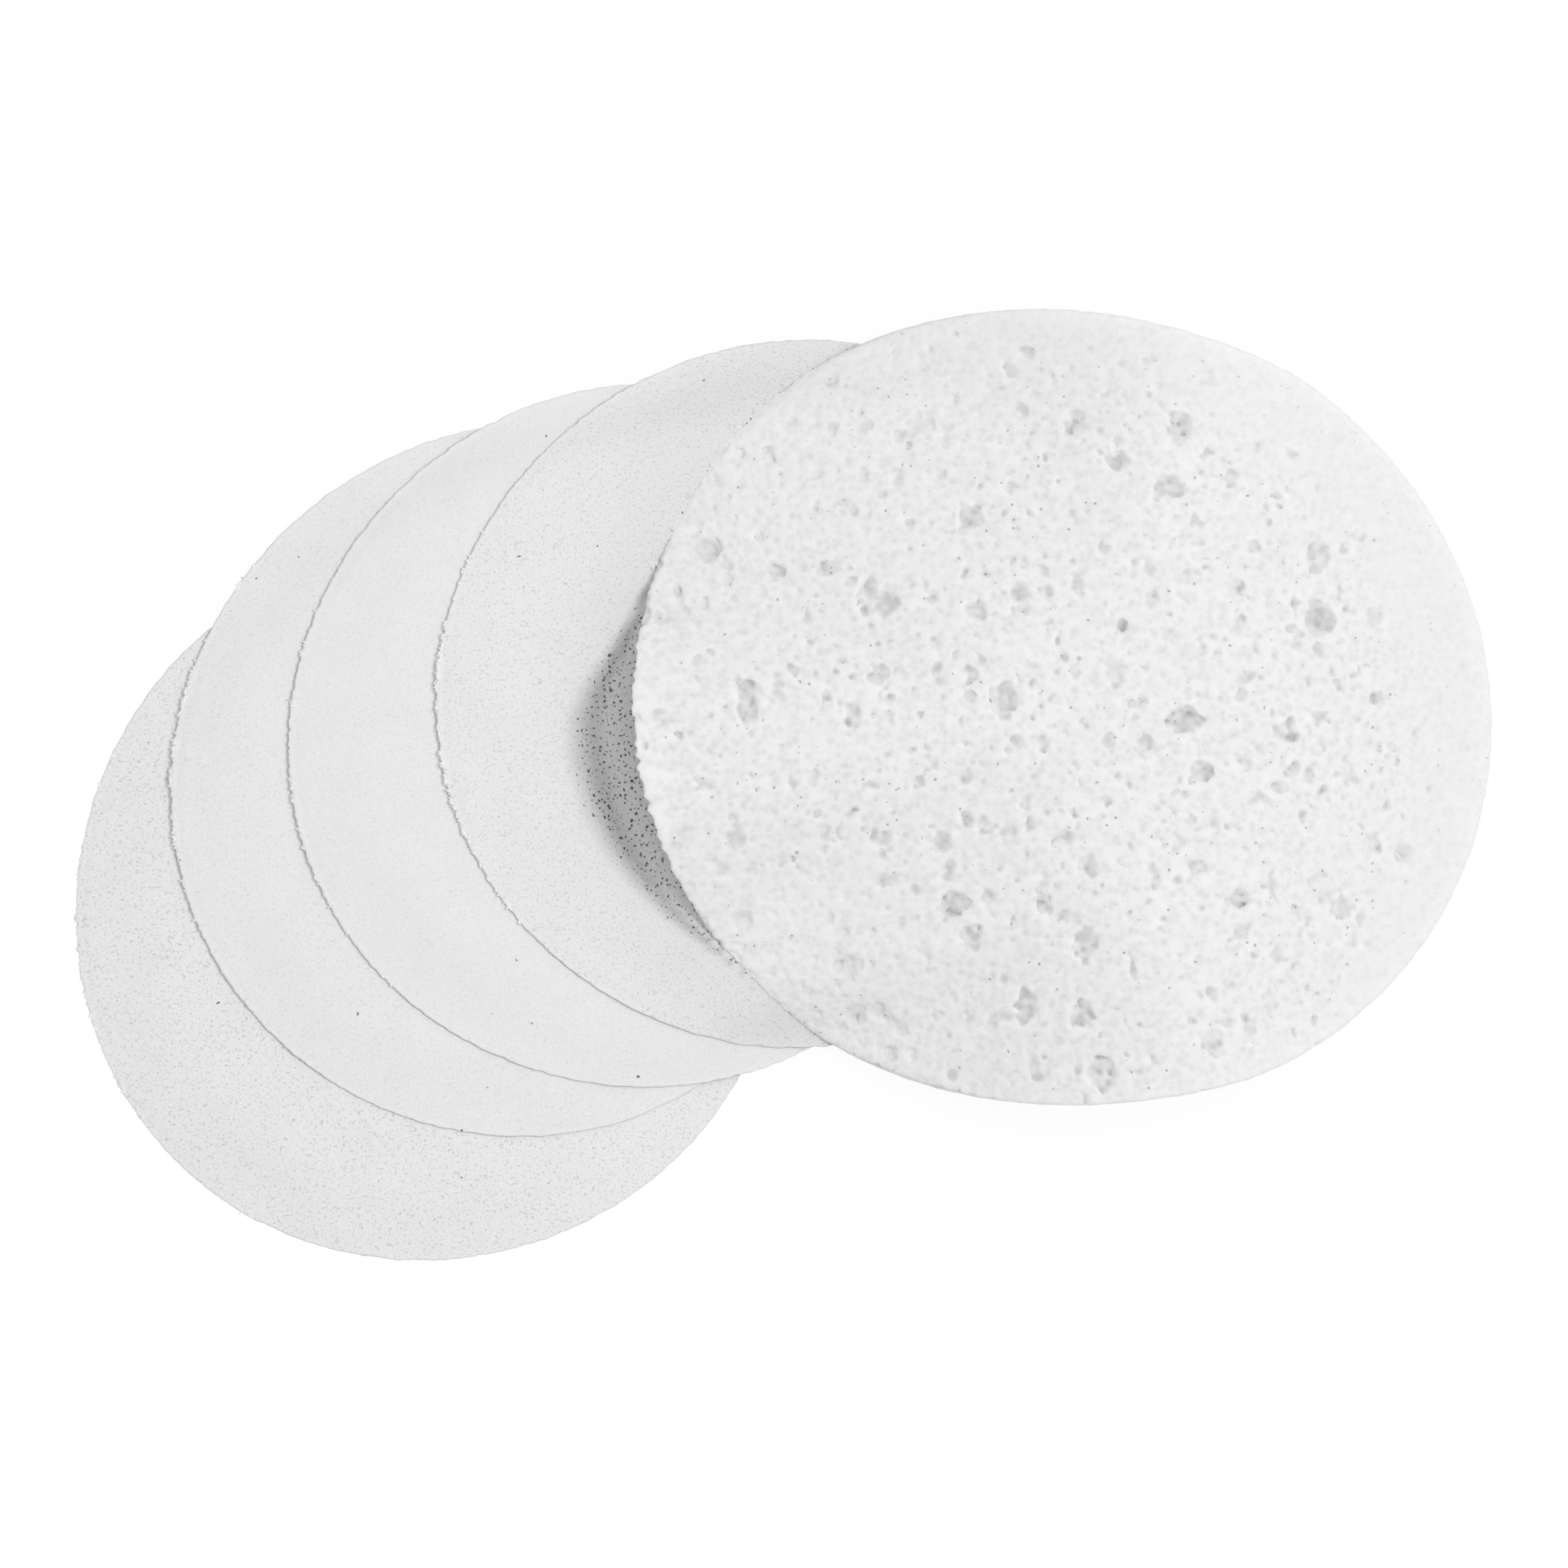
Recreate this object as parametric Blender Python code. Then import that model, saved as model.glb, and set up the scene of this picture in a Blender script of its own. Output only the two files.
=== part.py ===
# Facial sponge set: a fanned pile of four pressed round sponges with one swollen, open-pored sponge on top.
# Every piece is one die-cut slice of regenerated cellulose. +X is the photograph's right, +Y its top, +Z up.

import math
import random

import bmesh
import bpy
from mathutils import Matrix, Vector

# Pressed sponges: card-like slices that swell when they are wetted
PRESSED_DIAMETER = 0.075
PRESSED_THICKNESS = 0.0013
PRESSED_EDGE_RADIUS = 0.0003

# How far each pressed sponge is from round, from the bottom one up: its oval and its three shallow lobes
OVAL_SHARES = (0.002, 0.020, 0.008, 0.013)
OVAL_TURNS = tuple(math.radians(turn) for turn in (43, 56, 22, 51))
LOBE_SHARES = (0.007, 0.009, 0.010, 0.013)
LOBE_TURNS = tuple(math.radians(turn) for turn in (-18, -57, -45, -58))

# Fan of the pile: each sponge's step from the one below it, right and up, as shares of the pressed diameter
FAN_STEP_SHARES = ((0.134, 0.180), (0.169, 0.060), (0.205, 0.062))
TOP_STEP_SHARES = (0.374, -0.021)
SEAT_GAP = 0.0003

# Swollen sponge: the same slice after wetting, longer one way than the other
SWOLLEN_LENGTH = 0.0908
SWOLLEN_WIDTH = 0.084
SWOLLEN_THICKNESS = 0.010
SWOLLEN_EDGE_RADIUS = 0.0009
SWOLLEN_TURN = math.radians(-15)
SWOLLEN_LOBE_SHARE = 0.009
SWOLLEN_LOBE_TURN = math.radians(-5)

# Its free side bends over the rim below and comes down to the table, squashed flat where it lands
BEND_LENGTH = 0.012
FOOT_SQUASH = 0.0008

# Open cells of the swollen sponge, where the slice cuts through them
PORE_GAP = 0.0005
PORE_LENGTH = 0.003
PORE_DEPTH_SHARE = 0.85
PORE_SINK_SHARE = 0.3
SMALL_PORE_RADII = (0.0006, 0.0012)
WALL_PORE_RADII = (0.0008, 0.0016)
TOP_PORE_COUNT = 40
UNDERSIDE_PORE_COUNT = 36
WALL_PORE_COUNT = 34
PORE_SEED = 7

# Large cells of the upper face: place as shares of the half length and half width, then the opening's
# width and height as shares of PORE_LENGTH
LARGE_PORE_SHARES = (
    (-0.54, 0.81, 0.9, 0.9), (-0.12, 0.84, 0.7, 0.9), (0.03, 0.72, 1.1, 1.0), (0.27, 0.70, 1.1, 1.4),
    (0.13, 0.62, 1.0, 1.1), (0.25, 0.54, 1.2, 1.1), (-0.22, 0.47, 1.2, 1.1), (0.60, 0.38, 1.0, 1.5),
    (0.60, 0.23, 1.3, 1.5), (-0.45, 0.28, 0.8, 1.6), (-0.20, 0.24, 1.2, 1.0), (-0.14, 0.02, 1.2, 1.7),
    (0.28, -0.03, 1.3, 0.9), (-0.73, 0.02, 1.0, 1.9), (-0.49, -0.03, 0.8, 1.3), (0.42, 0.08, 0.9, 0.6),
    (0.32, -0.16, 0.8, 0.8), (0.48, -0.21, 1.4, 0.9), (0.73, 0.02, 0.8, 0.8), (-0.63, -0.19, 0.9, 0.8),
    (-0.30, -0.34, 0.8, 0.6), (-0.13, -0.31, 1.0, 0.8), (0.01, -0.32, 0.8, 0.8), (-0.27, -0.49, 0.9, 1.2),
    (-0.21, -0.60, 0.9, 1.3), (-0.05, -0.49, 0.7, 0.9), (0.05, -0.59, 1.2, 1.2), (0.41, -0.48, 0.8, 1.0),
    (0.65, -0.50, 1.0, 0.8), (0.79, -0.36, 1.1, 0.8), (-0.10, -0.75, 1.5, 1.3), (0.04, -0.77, 1.2, 1.2),
    (0.09, -0.90, 1.1, 1.0), (-0.49, -0.77, 0.7, 0.6), (-0.51, -0.64, 1.2, 1.1), (-0.83, 0.39, 0.8, 1.0),
    (-0.85, 0.26, 0.6, 0.8), (0.72, 0.22, 0.6, 1.2), (0.35, -0.83, 1.1, 1.3), (-0.44, 0.09, 0.7, 1.0),
)

# How finely the round forms are faceted
OUTLINE_STEPS = 72
EDGE_STEPS = 2
BEND_STEPS = 6
SHARP_ANGLE = math.radians(35)
SOLVER_ROUNDS = 40
PLACE_TRIES = 4000

PRESSED_COLOUR = (0.80, 0.80, 0.79, 1.0)
SWOLLEN_COLOUR = (0.88, 0.88, 0.87, 1.0)


# Scene

def clear_scene():
    for thing in list(bpy.data.objects):
        bpy.data.objects.remove(thing)


def cellulose(name, colour, roughness):
    material = bpy.data.materials.new(name)
    material.use_nodes = True
    shader = material.node_tree.nodes["Principled BSDF"]
    shader.inputs["Base Color"].default_value = colour
    shader.inputs["Roughness"].default_value = roughness
    shader.inputs["Metallic"].default_value = 0
    return material


def add_object(name, mesh, material=None, place=None, parent=None):
    thing = bpy.data.objects.new(name, mesh)
    bpy.context.collection.objects.link(thing)
    if material:
        mesh.materials.append(material)
    if place:
        thing.location = place
    thing.parent = parent
    return thing


def mesh_from(bm, name):
    mesh = bpy.data.meshes.new(name)
    bm.to_mesh(mesh)
    bm.free()
    return mesh


def shade_round(mesh):
    mesh.shade_smooth()
    mesh.set_sharp_from_angle(angle=SHARP_ANGLE)


# Outlines and slices

class Outline:
    """A die-cut outline: an oval with three shallow lobes, all from their own turns."""

    def __init__(self, length, width, turn, lobe_share, lobe_turn):
        self.mean = (length + width) / 4
        self.oval_share = (length - width) / (length + width)
        self.turn = turn
        self.lobe_share = lobe_share
        self.lobe_turn = lobe_turn

    def radius(self, angle):
        oval = self.oval_share * math.cos(2 * (angle - self.turn))
        lobes = self.lobe_share * math.cos(3 * (angle - self.lobe_turn))
        return self.mean * (1 + oval + lobes)

    def point(self, angle, inset, height):
        reach = self.radius(angle) - inset
        return Vector((reach * math.cos(angle), reach * math.sin(angle), height))

    def reach(self, direction):
        """How far the outline reaches from its centre along a direction."""
        return max(self.point(angle, 0, 0).dot(direction) for angle in outline_angles())


def outline_angles():
    return [math.tau * step / OUTLINE_STEPS for step in range(OUTLINE_STEPS)]


def pressed_outlines():
    shapes = zip(OVAL_SHARES, OVAL_TURNS, LOBE_SHARES, LOBE_TURNS)
    return [Outline(PRESSED_DIAMETER * (1 + oval), PRESSED_DIAMETER * (1 - oval), turn, lobe, lobe_turn)
            for oval, turn, lobe, lobe_turn in shapes]


def edge_profile(thickness, edge_radius):
    """Inset from the outline and height, from the underside's rim up to the upper face's rim."""
    radius = min(edge_radius, thickness / 2)
    quarter = [math.radians(90) * step / EDGE_STEPS for step in range(EDGE_STEPS + 1)]
    lower = [(radius * (1 - math.sin(turn)), radius * (1 - math.cos(turn))) for turn in quarter]
    upper = [(inset, thickness - height) for inset, height in reversed(lower)]
    return lower + upper


def slice_mesh(outline, thickness, edge_radius):
    """A flat slice with its underside at zero: rims stacked up its wall, closed by one face at each end."""
    bm = bmesh.new()
    rims = []
    for inset, height in edge_profile(thickness, edge_radius):
        rims.append([bm.verts.new(outline.point(angle, inset, height)) for angle in outline_angles()])
    bm.faces.new(reversed(rims[0]))
    bm.faces.new(rims[-1])
    for lower, upper in zip(rims, rims[1:]):
        for here in range(OUTLINE_STEPS):
            following = (here + 1) % OUTLINE_STEPS
            bm.faces.new((lower[here], lower[following], upper[following], upper[here]))
    return bm


# Pressed sponges

def level(index):
    return index * (PRESSED_THICKNESS + SEAT_GAP)


def pressed_places():
    place = Vector((0, 0, 0))
    places = [place]
    for index, (right, up) in enumerate(FAN_STEP_SHARES, start=1):
        place = Vector((place.x + right * PRESSED_DIAMETER, place.y + up * PRESSED_DIAMETER, level(index)))
        places.append(place)
    return places


def make_pressed_sponge(name, outline, place, material, pile):
    mesh = mesh_from(slice_mesh(outline, PRESSED_THICKNESS, PRESSED_EDGE_RADIUS), name)
    shade_round(mesh)
    return add_object(name, mesh, material, place, pile)


# Droop of the swollen sponge

class Droop:
    """How the swollen sponge lies: flat as far as the rim below, then a round bend and a straight slope."""

    def __init__(self, outline, outline_below, step, seat_height):
        self.direction = step.normalized()
        self.seat_height = seat_height
        self.start = outline_below.reach(self.direction) - step.length
        self.overhang = outline.reach(self.direction) - self.start
        self.slope = self.solve_slope(seat_height + FOOT_SQUASH)
        self.foot = BEND_LENGTH + (seat_height - self.bend_fall(self.slope)) / math.sin(self.slope)

    def bend_fall(self, slope):
        return BEND_LENGTH / slope * (1 - math.cos(slope))

    def solve_slope(self, fall):
        """Slope at which the underside of the outermost edge has come down by the given height."""
        low, high = 0, math.radians(90)
        for _ in range(SOLVER_ROUNDS):
            middle = (low + high) / 2
            if self.bend_fall(middle) + (self.overhang - BEND_LENGTH) * math.sin(middle) < fall:
                low = middle
            else:
                high = middle
        return (low + high) / 2

    def stations(self):
        """Runs along the underside where the slice gets an edge across: through the bend and at the foot."""
        return [BEND_LENGTH * step / BEND_STEPS for step in range(BEND_STEPS + 1)] + [self.foot]

    def run_at(self, point):
        return point.x * self.direction.x + point.y * self.direction.y - self.start

    def settle(self, point):
        """Moves a point of the flat slice to where it lies once the free side has come down."""
        run = self.run_at(point)
        if run <= 0:
            return point
        bend = min(run, BEND_LENGTH)
        straight = run - bend
        turned = self.slope * bend / BEND_LENGTH
        bend_radius = BEND_LENGTH / self.slope
        out = (bend_radius + point.z) * math.sin(turned) + straight * math.cos(turned) - run
        height = point.z - (bend_radius + point.z) * (1 - math.cos(turned)) - straight * math.sin(turned)
        return Vector((point.x + self.direction.x * out, point.y + self.direction.y * out, height))

    def squash(self, point):
        """Presses a point that has come down below the table back up to it."""
        return Vector((point.x, point.y, max(point.z, -self.seat_height)))


# Open cells of the swollen sponge

class Pore:
    """One open cell: its centre, its half sizes and its turn about the vertical."""

    def __init__(self, centre, half_sizes, turn=0):
        self.centre = centre
        self.half_sizes = half_sizes
        self.turn = turn

    def clears(self, others):
        room = [max(self.half_sizes) + max(other.half_sizes) + PORE_GAP for other in others]
        return all((self.centre - other.centre).length > need for other, need in zip(others, room))

    def clears_foot(self, droop):
        upper = self.centre.z > SWOLLEN_THICKNESS / 2
        return upper or droop.run_at(self.centre) + max(self.half_sizes) + PORE_GAP < droop.foot

    def add_to(self, bm):
        fine = max(self.half_sizes) > PORE_LENGTH / 2 * PORE_DEPTH_SHARE
        turn = Matrix.Rotation(self.turn, 4, "Z")
        matrix = Matrix.Translation(self.centre) @ turn @ Matrix.Diagonal((*self.half_sizes, 1))
        bmesh.ops.create_icosphere(bm, subdivisions=2 if fine else 1, radius=1, matrix=matrix)


def large_pores():
    pores = []
    for x_share, y_share, width_share, height_share in LARGE_PORE_SHARES:
        half_sizes = [share * PORE_LENGTH / 2 for share in (width_share, height_share)]
        half_sizes.append(min(half_sizes) * PORE_DEPTH_SHARE)
        height = SWOLLEN_THICKNESS - half_sizes[2] * PORE_SINK_SHARE
        centre = Vector((x_share * SWOLLEN_LENGTH / 2, y_share * SWOLLEN_WIDTH / 2, height))
        pores.append(Pore(centre, half_sizes))
    return pores


def face_pore(draw, outline, upper):
    """A small cell somewhere on the upper face or the underside, clear of the rim."""
    radius = draw.uniform(*SMALL_PORE_RADII)
    angle = draw.uniform(0, math.tau)
    rim = outline.radius(angle) - SWOLLEN_EDGE_RADIUS - radius - PORE_GAP
    inset = outline.radius(angle) - rim * math.sqrt(draw.random())
    sink = radius * PORE_SINK_SHARE
    height = SWOLLEN_THICKNESS - sink if upper else sink
    half_sizes = (radius, radius * draw.uniform(PORE_DEPTH_SHARE, 1), radius * PORE_DEPTH_SHARE)
    return Pore(outline.point(angle, inset, height), half_sizes, angle)


def wall_pore(draw, outline):
    """A small cell cut open by the die, in the wall."""
    radius = draw.uniform(*WALL_PORE_RADII)
    angle = draw.uniform(0, math.tau)
    margin = SWOLLEN_EDGE_RADIUS + radius + PORE_GAP
    height = draw.uniform(margin, SWOLLEN_THICKNESS - margin)
    half_sizes = (radius * PORE_DEPTH_SHARE, radius, radius)
    return Pore(outline.point(angle, radius * PORE_SINK_SHARE, height), half_sizes, angle)


def scatter(pores, count, make):
    """Adds up to the given number of pores, each clear of all that are there."""
    wanted = len(pores) + count
    for _ in range(PLACE_TRIES):
        if len(pores) == wanted:
            break
        pore = make()
        if pore.clears(pores):
            pores.append(pore)


def all_pores(outline, droop):
    draw = random.Random(PORE_SEED)
    pores = large_pores()
    scatter(pores, WALL_PORE_COUNT, lambda: wall_pore(draw, outline))
    scatter(pores, TOP_PORE_COUNT, lambda: face_pore(draw, outline, upper=True))
    scatter(pores, UNDERSIDE_PORE_COUNT, lambda: face_pore(draw, outline, upper=False))
    return [pore for pore in pores if pore.clears_foot(droop)]


# Swollen sponge

def swollen_body(outline, droop):
    bm = slice_mesh(outline, SWOLLEN_THICKNESS, SWOLLEN_EDGE_RADIUS)
    for station in droop.stations():
        everything = bm.verts[:] + bm.edges[:] + bm.faces[:]
        place = droop.direction * (droop.start + station)
        bmesh.ops.bisect_plane(bm, geom=everything, plane_co=place, plane_no=droop.direction)
    return bm


def settled_mesh(bm, place_of, name):
    for vert in bm.verts:
        vert.co = place_of(vert.co.copy())
    bmesh.ops.triangulate(bm, faces=bm.faces[:])
    return mesh_from(bm, name)


def cut(body, cutter):
    """Takes the cutter's volume out of the body for good."""
    hollow = body.modifiers.new("open cells", "BOOLEAN")
    hollow.object = cutter
    hollow.solver = "EXACT"
    shape = body.evaluated_get(bpy.context.evaluated_depsgraph_get())
    mesh = bpy.data.meshes.new_from_object(shape)
    body.modifiers.remove(hollow)
    body.data = mesh
    bpy.data.objects.remove(cutter)


def make_swollen_sponge(outline_below, place_below, material, pile):
    outline = Outline(SWOLLEN_LENGTH, SWOLLEN_WIDTH, SWOLLEN_TURN, SWOLLEN_LOBE_SHARE, SWOLLEN_LOBE_TURN)
    step = Vector([share * PRESSED_DIAMETER for share in TOP_STEP_SHARES] + [0])
    place = place_below + step
    place.z = level(len(FAN_STEP_SHARES) + 1)
    droop = Droop(outline, outline_below, step, place.z)
    body = settled_mesh(swollen_body(outline, droop), lambda point: droop.squash(droop.settle(point)),
                        "swollen_sponge")
    sponge = add_object("swollen_sponge", body, material, place, pile)
    cells = bmesh.new()
    for pore in all_pores(outline, droop):
        pore.add_to(cells)
    cutter = add_object("open_cells", settled_mesh(cells, droop.settle, "open_cells"), None, place, pile)
    bpy.context.view_layer.update()
    cut(sponge, cutter)
    shade_round(sponge.data)
    return sponge


# Whole pile

def centre_pile(pile, pieces):
    """Puts the middle of the whole pile's box over the origin."""
    bpy.context.view_layer.update()
    points = [piece.matrix_world @ vert.co for piece in pieces for vert in piece.data.vertices]
    middle = [(min(p[axis] for p in points) + max(p[axis] for p in points)) / 2 for axis in (0, 1)]
    pile.location = (-middle[0], -middle[1], 0)
    bpy.context.view_layer.update()


def build():
    clear_scene()
    pressed = cellulose("pressed cellulose", PRESSED_COLOUR, roughness=0.85)
    swollen = cellulose("swollen cellulose", SWOLLEN_COLOUR, roughness=0.9)
    pile = add_object("pile", None)
    places = pressed_places()
    outlines = pressed_outlines()
    pieces = [make_pressed_sponge(f"pressed_sponge_{number}", outline, place, pressed, pile)
              for number, (outline, place) in enumerate(zip(outlines, places), start=1)]
    pieces.append(make_swollen_sponge(outlines[-1], places[-1], swollen, pile))
    centre_pile(pile, pieces)


build()
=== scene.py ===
import math

import bpy
import numpy as np
from mathutils import Matrix, Vector


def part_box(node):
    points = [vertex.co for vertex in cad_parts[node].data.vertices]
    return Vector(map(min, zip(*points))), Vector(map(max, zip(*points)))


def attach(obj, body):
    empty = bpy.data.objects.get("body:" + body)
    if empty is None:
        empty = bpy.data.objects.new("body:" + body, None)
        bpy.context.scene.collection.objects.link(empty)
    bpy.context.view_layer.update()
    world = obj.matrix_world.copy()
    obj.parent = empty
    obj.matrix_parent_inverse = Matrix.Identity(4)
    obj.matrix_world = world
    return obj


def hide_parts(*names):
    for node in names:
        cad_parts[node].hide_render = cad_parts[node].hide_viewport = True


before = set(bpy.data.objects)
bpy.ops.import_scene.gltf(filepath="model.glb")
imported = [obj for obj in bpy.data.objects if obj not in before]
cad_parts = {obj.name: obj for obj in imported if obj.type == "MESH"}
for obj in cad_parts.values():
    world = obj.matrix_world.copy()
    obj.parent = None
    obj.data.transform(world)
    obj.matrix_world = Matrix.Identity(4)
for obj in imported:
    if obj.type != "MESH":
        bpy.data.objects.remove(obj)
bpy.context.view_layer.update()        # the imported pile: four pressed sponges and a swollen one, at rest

mm = 0.001               # trees and dictionaries below hold millimetres, finished meshes hold metres

# Blender's noise has this middle, and lies about this far to each side of it
noiseMiddle = 0.5
noiseSpread = 0.25

# The photograph's view: nearly from above, a little from the left
photoView = {
    "target": (-0.61, -0.05, 5.0),  # mm, the point in the middle of the picture
    "distance": 1000.0,  # mm
    "tilt": 8.5,  # degrees from the vertical
    "side": 187.0,  # degrees, where the camera leans to
    "lens": 216.9,  # mm on the sensor
    "sensor": 36.0,
    "pictureSide": 1932,  # pixels
    "clip": (0.01, 20.0),  # m
}
pixelSize = photoView["distance"] * photoView["sensor"] / photoView["lens"] / photoView["pictureSide"]  # mm


# Small tools

def fillInputs(tree, node, values):
    # Each input takes a value, a socket, or a node's first output in use
    for place, value in values.items():
        if isinstance(value, bpy.types.Node):
            value = next(socket for socket in value.outputs if socket.enabled)
        if isinstance(value, bpy.types.NodeSocket):
            tree.links.new(value, node.inputs[place])
        else:
            node.inputs[place].default_value = value


def addNode(tree, kind, *inputs, **settings):
    # The inputs stand in their order, or in one dictionary by name or number
    node = tree.nodes.new(kind)
    for setting, value in settings.items():
        setattr(node, setting, value)
    named = inputs and isinstance(inputs[0], dict)
    fillInputs(tree, node, inputs[0] if named else dict(enumerate(inputs)))
    return node


def newTree(name, takes, gives):
    tree = bpy.data.node_groups.new(name, "GeometryNodeTree")
    for direction, sockets in (("INPUT", takes), ("OUTPUT", gives)):
        for label, kind in sockets:
            tree.interface.new_socket(name=label, in_out=direction, socket_type="NodeSocket" + kind)
    return tree, tree.nodes.new("NodeGroupInput").outputs, tree.nodes.new("NodeGroupOutput")


def finishTree(tree, gives, geometry, material):
    real = addNode(tree, "GeometryNodeRealizeInstances", geometry)
    smooth = addNode(tree, "GeometryNodeSetShadeSmooth", real)
    finished = addNode(tree, "GeometryNodeSetMaterial", {"Geometry": smooth, "Material": material})
    fillInputs(tree, gives, {"Geometry": finished})
    return tree


def pick(sockets, names):
    return {name: sockets[name] for name in names}


def hexColour(code):
    # sRGB hex to the linear values that Blender's sockets hold
    channels = [int(code[place:place + 2], 16) / 255 for place in (1, 3, 5)]
    linear = [c / 12.92 if c <= 0.04045 else ((c + 0.055) / 1.055) ** 2.4 for c in channels]
    return (*linear, 1.0)


def addObject(name, data):
    thing = bpy.data.objects.new(name, data)
    bpy.context.collection.objects.link(thing)
    return thing


def grow(name, mesh, tree, values):
    # Runs a Geometry Nodes tree on a mesh and keeps the result as a plain mesh
    thing = addObject(name, mesh)
    modifier = thing.modifiers.new(tree.name, "NODES")
    modifier.node_group = tree
    for item in tree.interface.items_tree:
        if item.in_out == "INPUT" and item.name in values:
            modifier[item.identifier] = values[item.name]
    shape = thing.evaluated_get(bpy.context.evaluated_depsgraph_get())
    grown = bpy.data.meshes.new_from_object(shape)
    thing.modifiers.remove(modifier)
    thing.data = grown
    return thing


def readPoints(mesh):
    flat = np.empty(len(mesh.vertices) * 3, dtype=np.float32)
    mesh.vertices.foreach_get("co", flat)
    return flat.reshape(-1, 3).astype(np.float64)


def writePoints(mesh, points):
    mesh.vertices.foreach_set("co", points.astype(np.float32).ravel())
    mesh.update()


def noteValues(mesh, name, values):
    noted = mesh.attributes.new(name, "FLOAT", "POINT")
    noted.data.foreach_set("value", np.array(values, dtype=np.float32))


# Camera

def makeCamera(view):
    tilt = math.radians(view["tilt"])
    side = math.radians(view["side"])
    back = Vector((math.sin(tilt) * math.cos(side), math.sin(tilt) * math.sin(side), math.cos(tilt)))
    right = (-back).cross(Vector((0, 1, 0))).normalized()
    up = right.cross(-back)
    place = Vector(view["target"]) * mm + back * view["distance"] * mm
    data = bpy.data.cameras.new("camera")
    data.lens = view["lens"]
    data.sensor_width = view["sensor"]
    data.clip_start, data.clip_end = view["clip"]
    camera = addObject("camera", data)
    camera.matrix_world = Matrix.Translation(place) @ Matrix((right, up, back)).transposed().to_4x4()
    bpy.context.scene.camera = camera
    bpy.context.view_layer.update()
    return camera


def pictureOf(camera, point):
    # Where a point of the frame (m) falls in the photograph, in its pixels
    local = camera.matrix_world.inverted() @ Vector(point)
    spread = photoView["lens"] / photoView["sensor"] * photoView["pictureSide"]
    middle = photoView["pictureSide"] / 2
    return np.array((middle - spread * local.x / local.z, middle + spread * local.y / local.z))


camera = makeCamera(photoView)
print("camera placed")


# Shapes: arrays hold a row for each point

def ease(share):
    share = np.clip(share, 0, 1)
    return share * share * (3 - 2 * share)


def near(angles, turn, spread):
    # 1 at an angle in degrees, down to 0 at the spread on each side
    away = np.abs((angles - math.radians(turn) + math.pi) % math.tau - math.pi)
    return ease(1 - away / math.radians(spread))


def polar(points):
    return np.arctan2(points[:, 1], points[:, 0]), np.hypot(points[:, 0], points[:, 1])


def moveOut(points, angles, amounts):
    points[:, 0] += amounts * np.cos(angles)
    points[:, 1] += amounts * np.sin(angles)


def ripples(draws, places, lengths, count):
    # A sum of plane waves of random lengths and directions, about 1 high. Places are in mm
    total = np.zeros(len(places))
    for _ in range(count):
        length = lengths[0] * (lengths[1] / lengths[0]) ** draws.random()
        turn = math.tau * draws.random()
        start = math.tau * draws.random()
        along = places[:, 0] * math.cos(turn) + places[:, 1] * math.sin(turn)
        total += np.sin(math.tau * along / length + start)
    return total / math.sqrt(count / 2)


def rimRipples(draws, angles, radius, lengths, count):
    # The same along a rim, alike at every height
    return ripples(draws, np.column_stack((np.cos(angles), np.sin(angles))) * radius, lengths, count)


# Outlines: an oval with three shallow lobes, as every die-cut slice here has

def outlineRadius(shape, angle):
    oval = shape["ovalShare"] * np.cos(2 * (angle - shape["ovalTurn"]))
    lobes = shape["lobeShare"] * np.cos(3 * (angle - shape["lobeTurn"]))
    return shape["meanRadius"] * (1 + oval + lobes)


def outlineShape(length, width, ovalTurn, lobeShare, lobeTurn):
    return {
        "meanRadius": (length + width) / 4,
        "ovalShare": (length - width) / (length + width),
        "ovalTurn": math.radians(ovalTurn),
        "lobeShare": lobeShare,
        "lobeTurn": math.radians(lobeTurn),
    }


def outlineReach(shape, direction):
    angles = np.linspace(0, math.tau, 720, endpoint=False)  # every half degree
    along = np.cos(angles) * direction[0] + np.sin(angles) * direction[1]
    return float((outlineRadius(shape, angles) * along).max())


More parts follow.
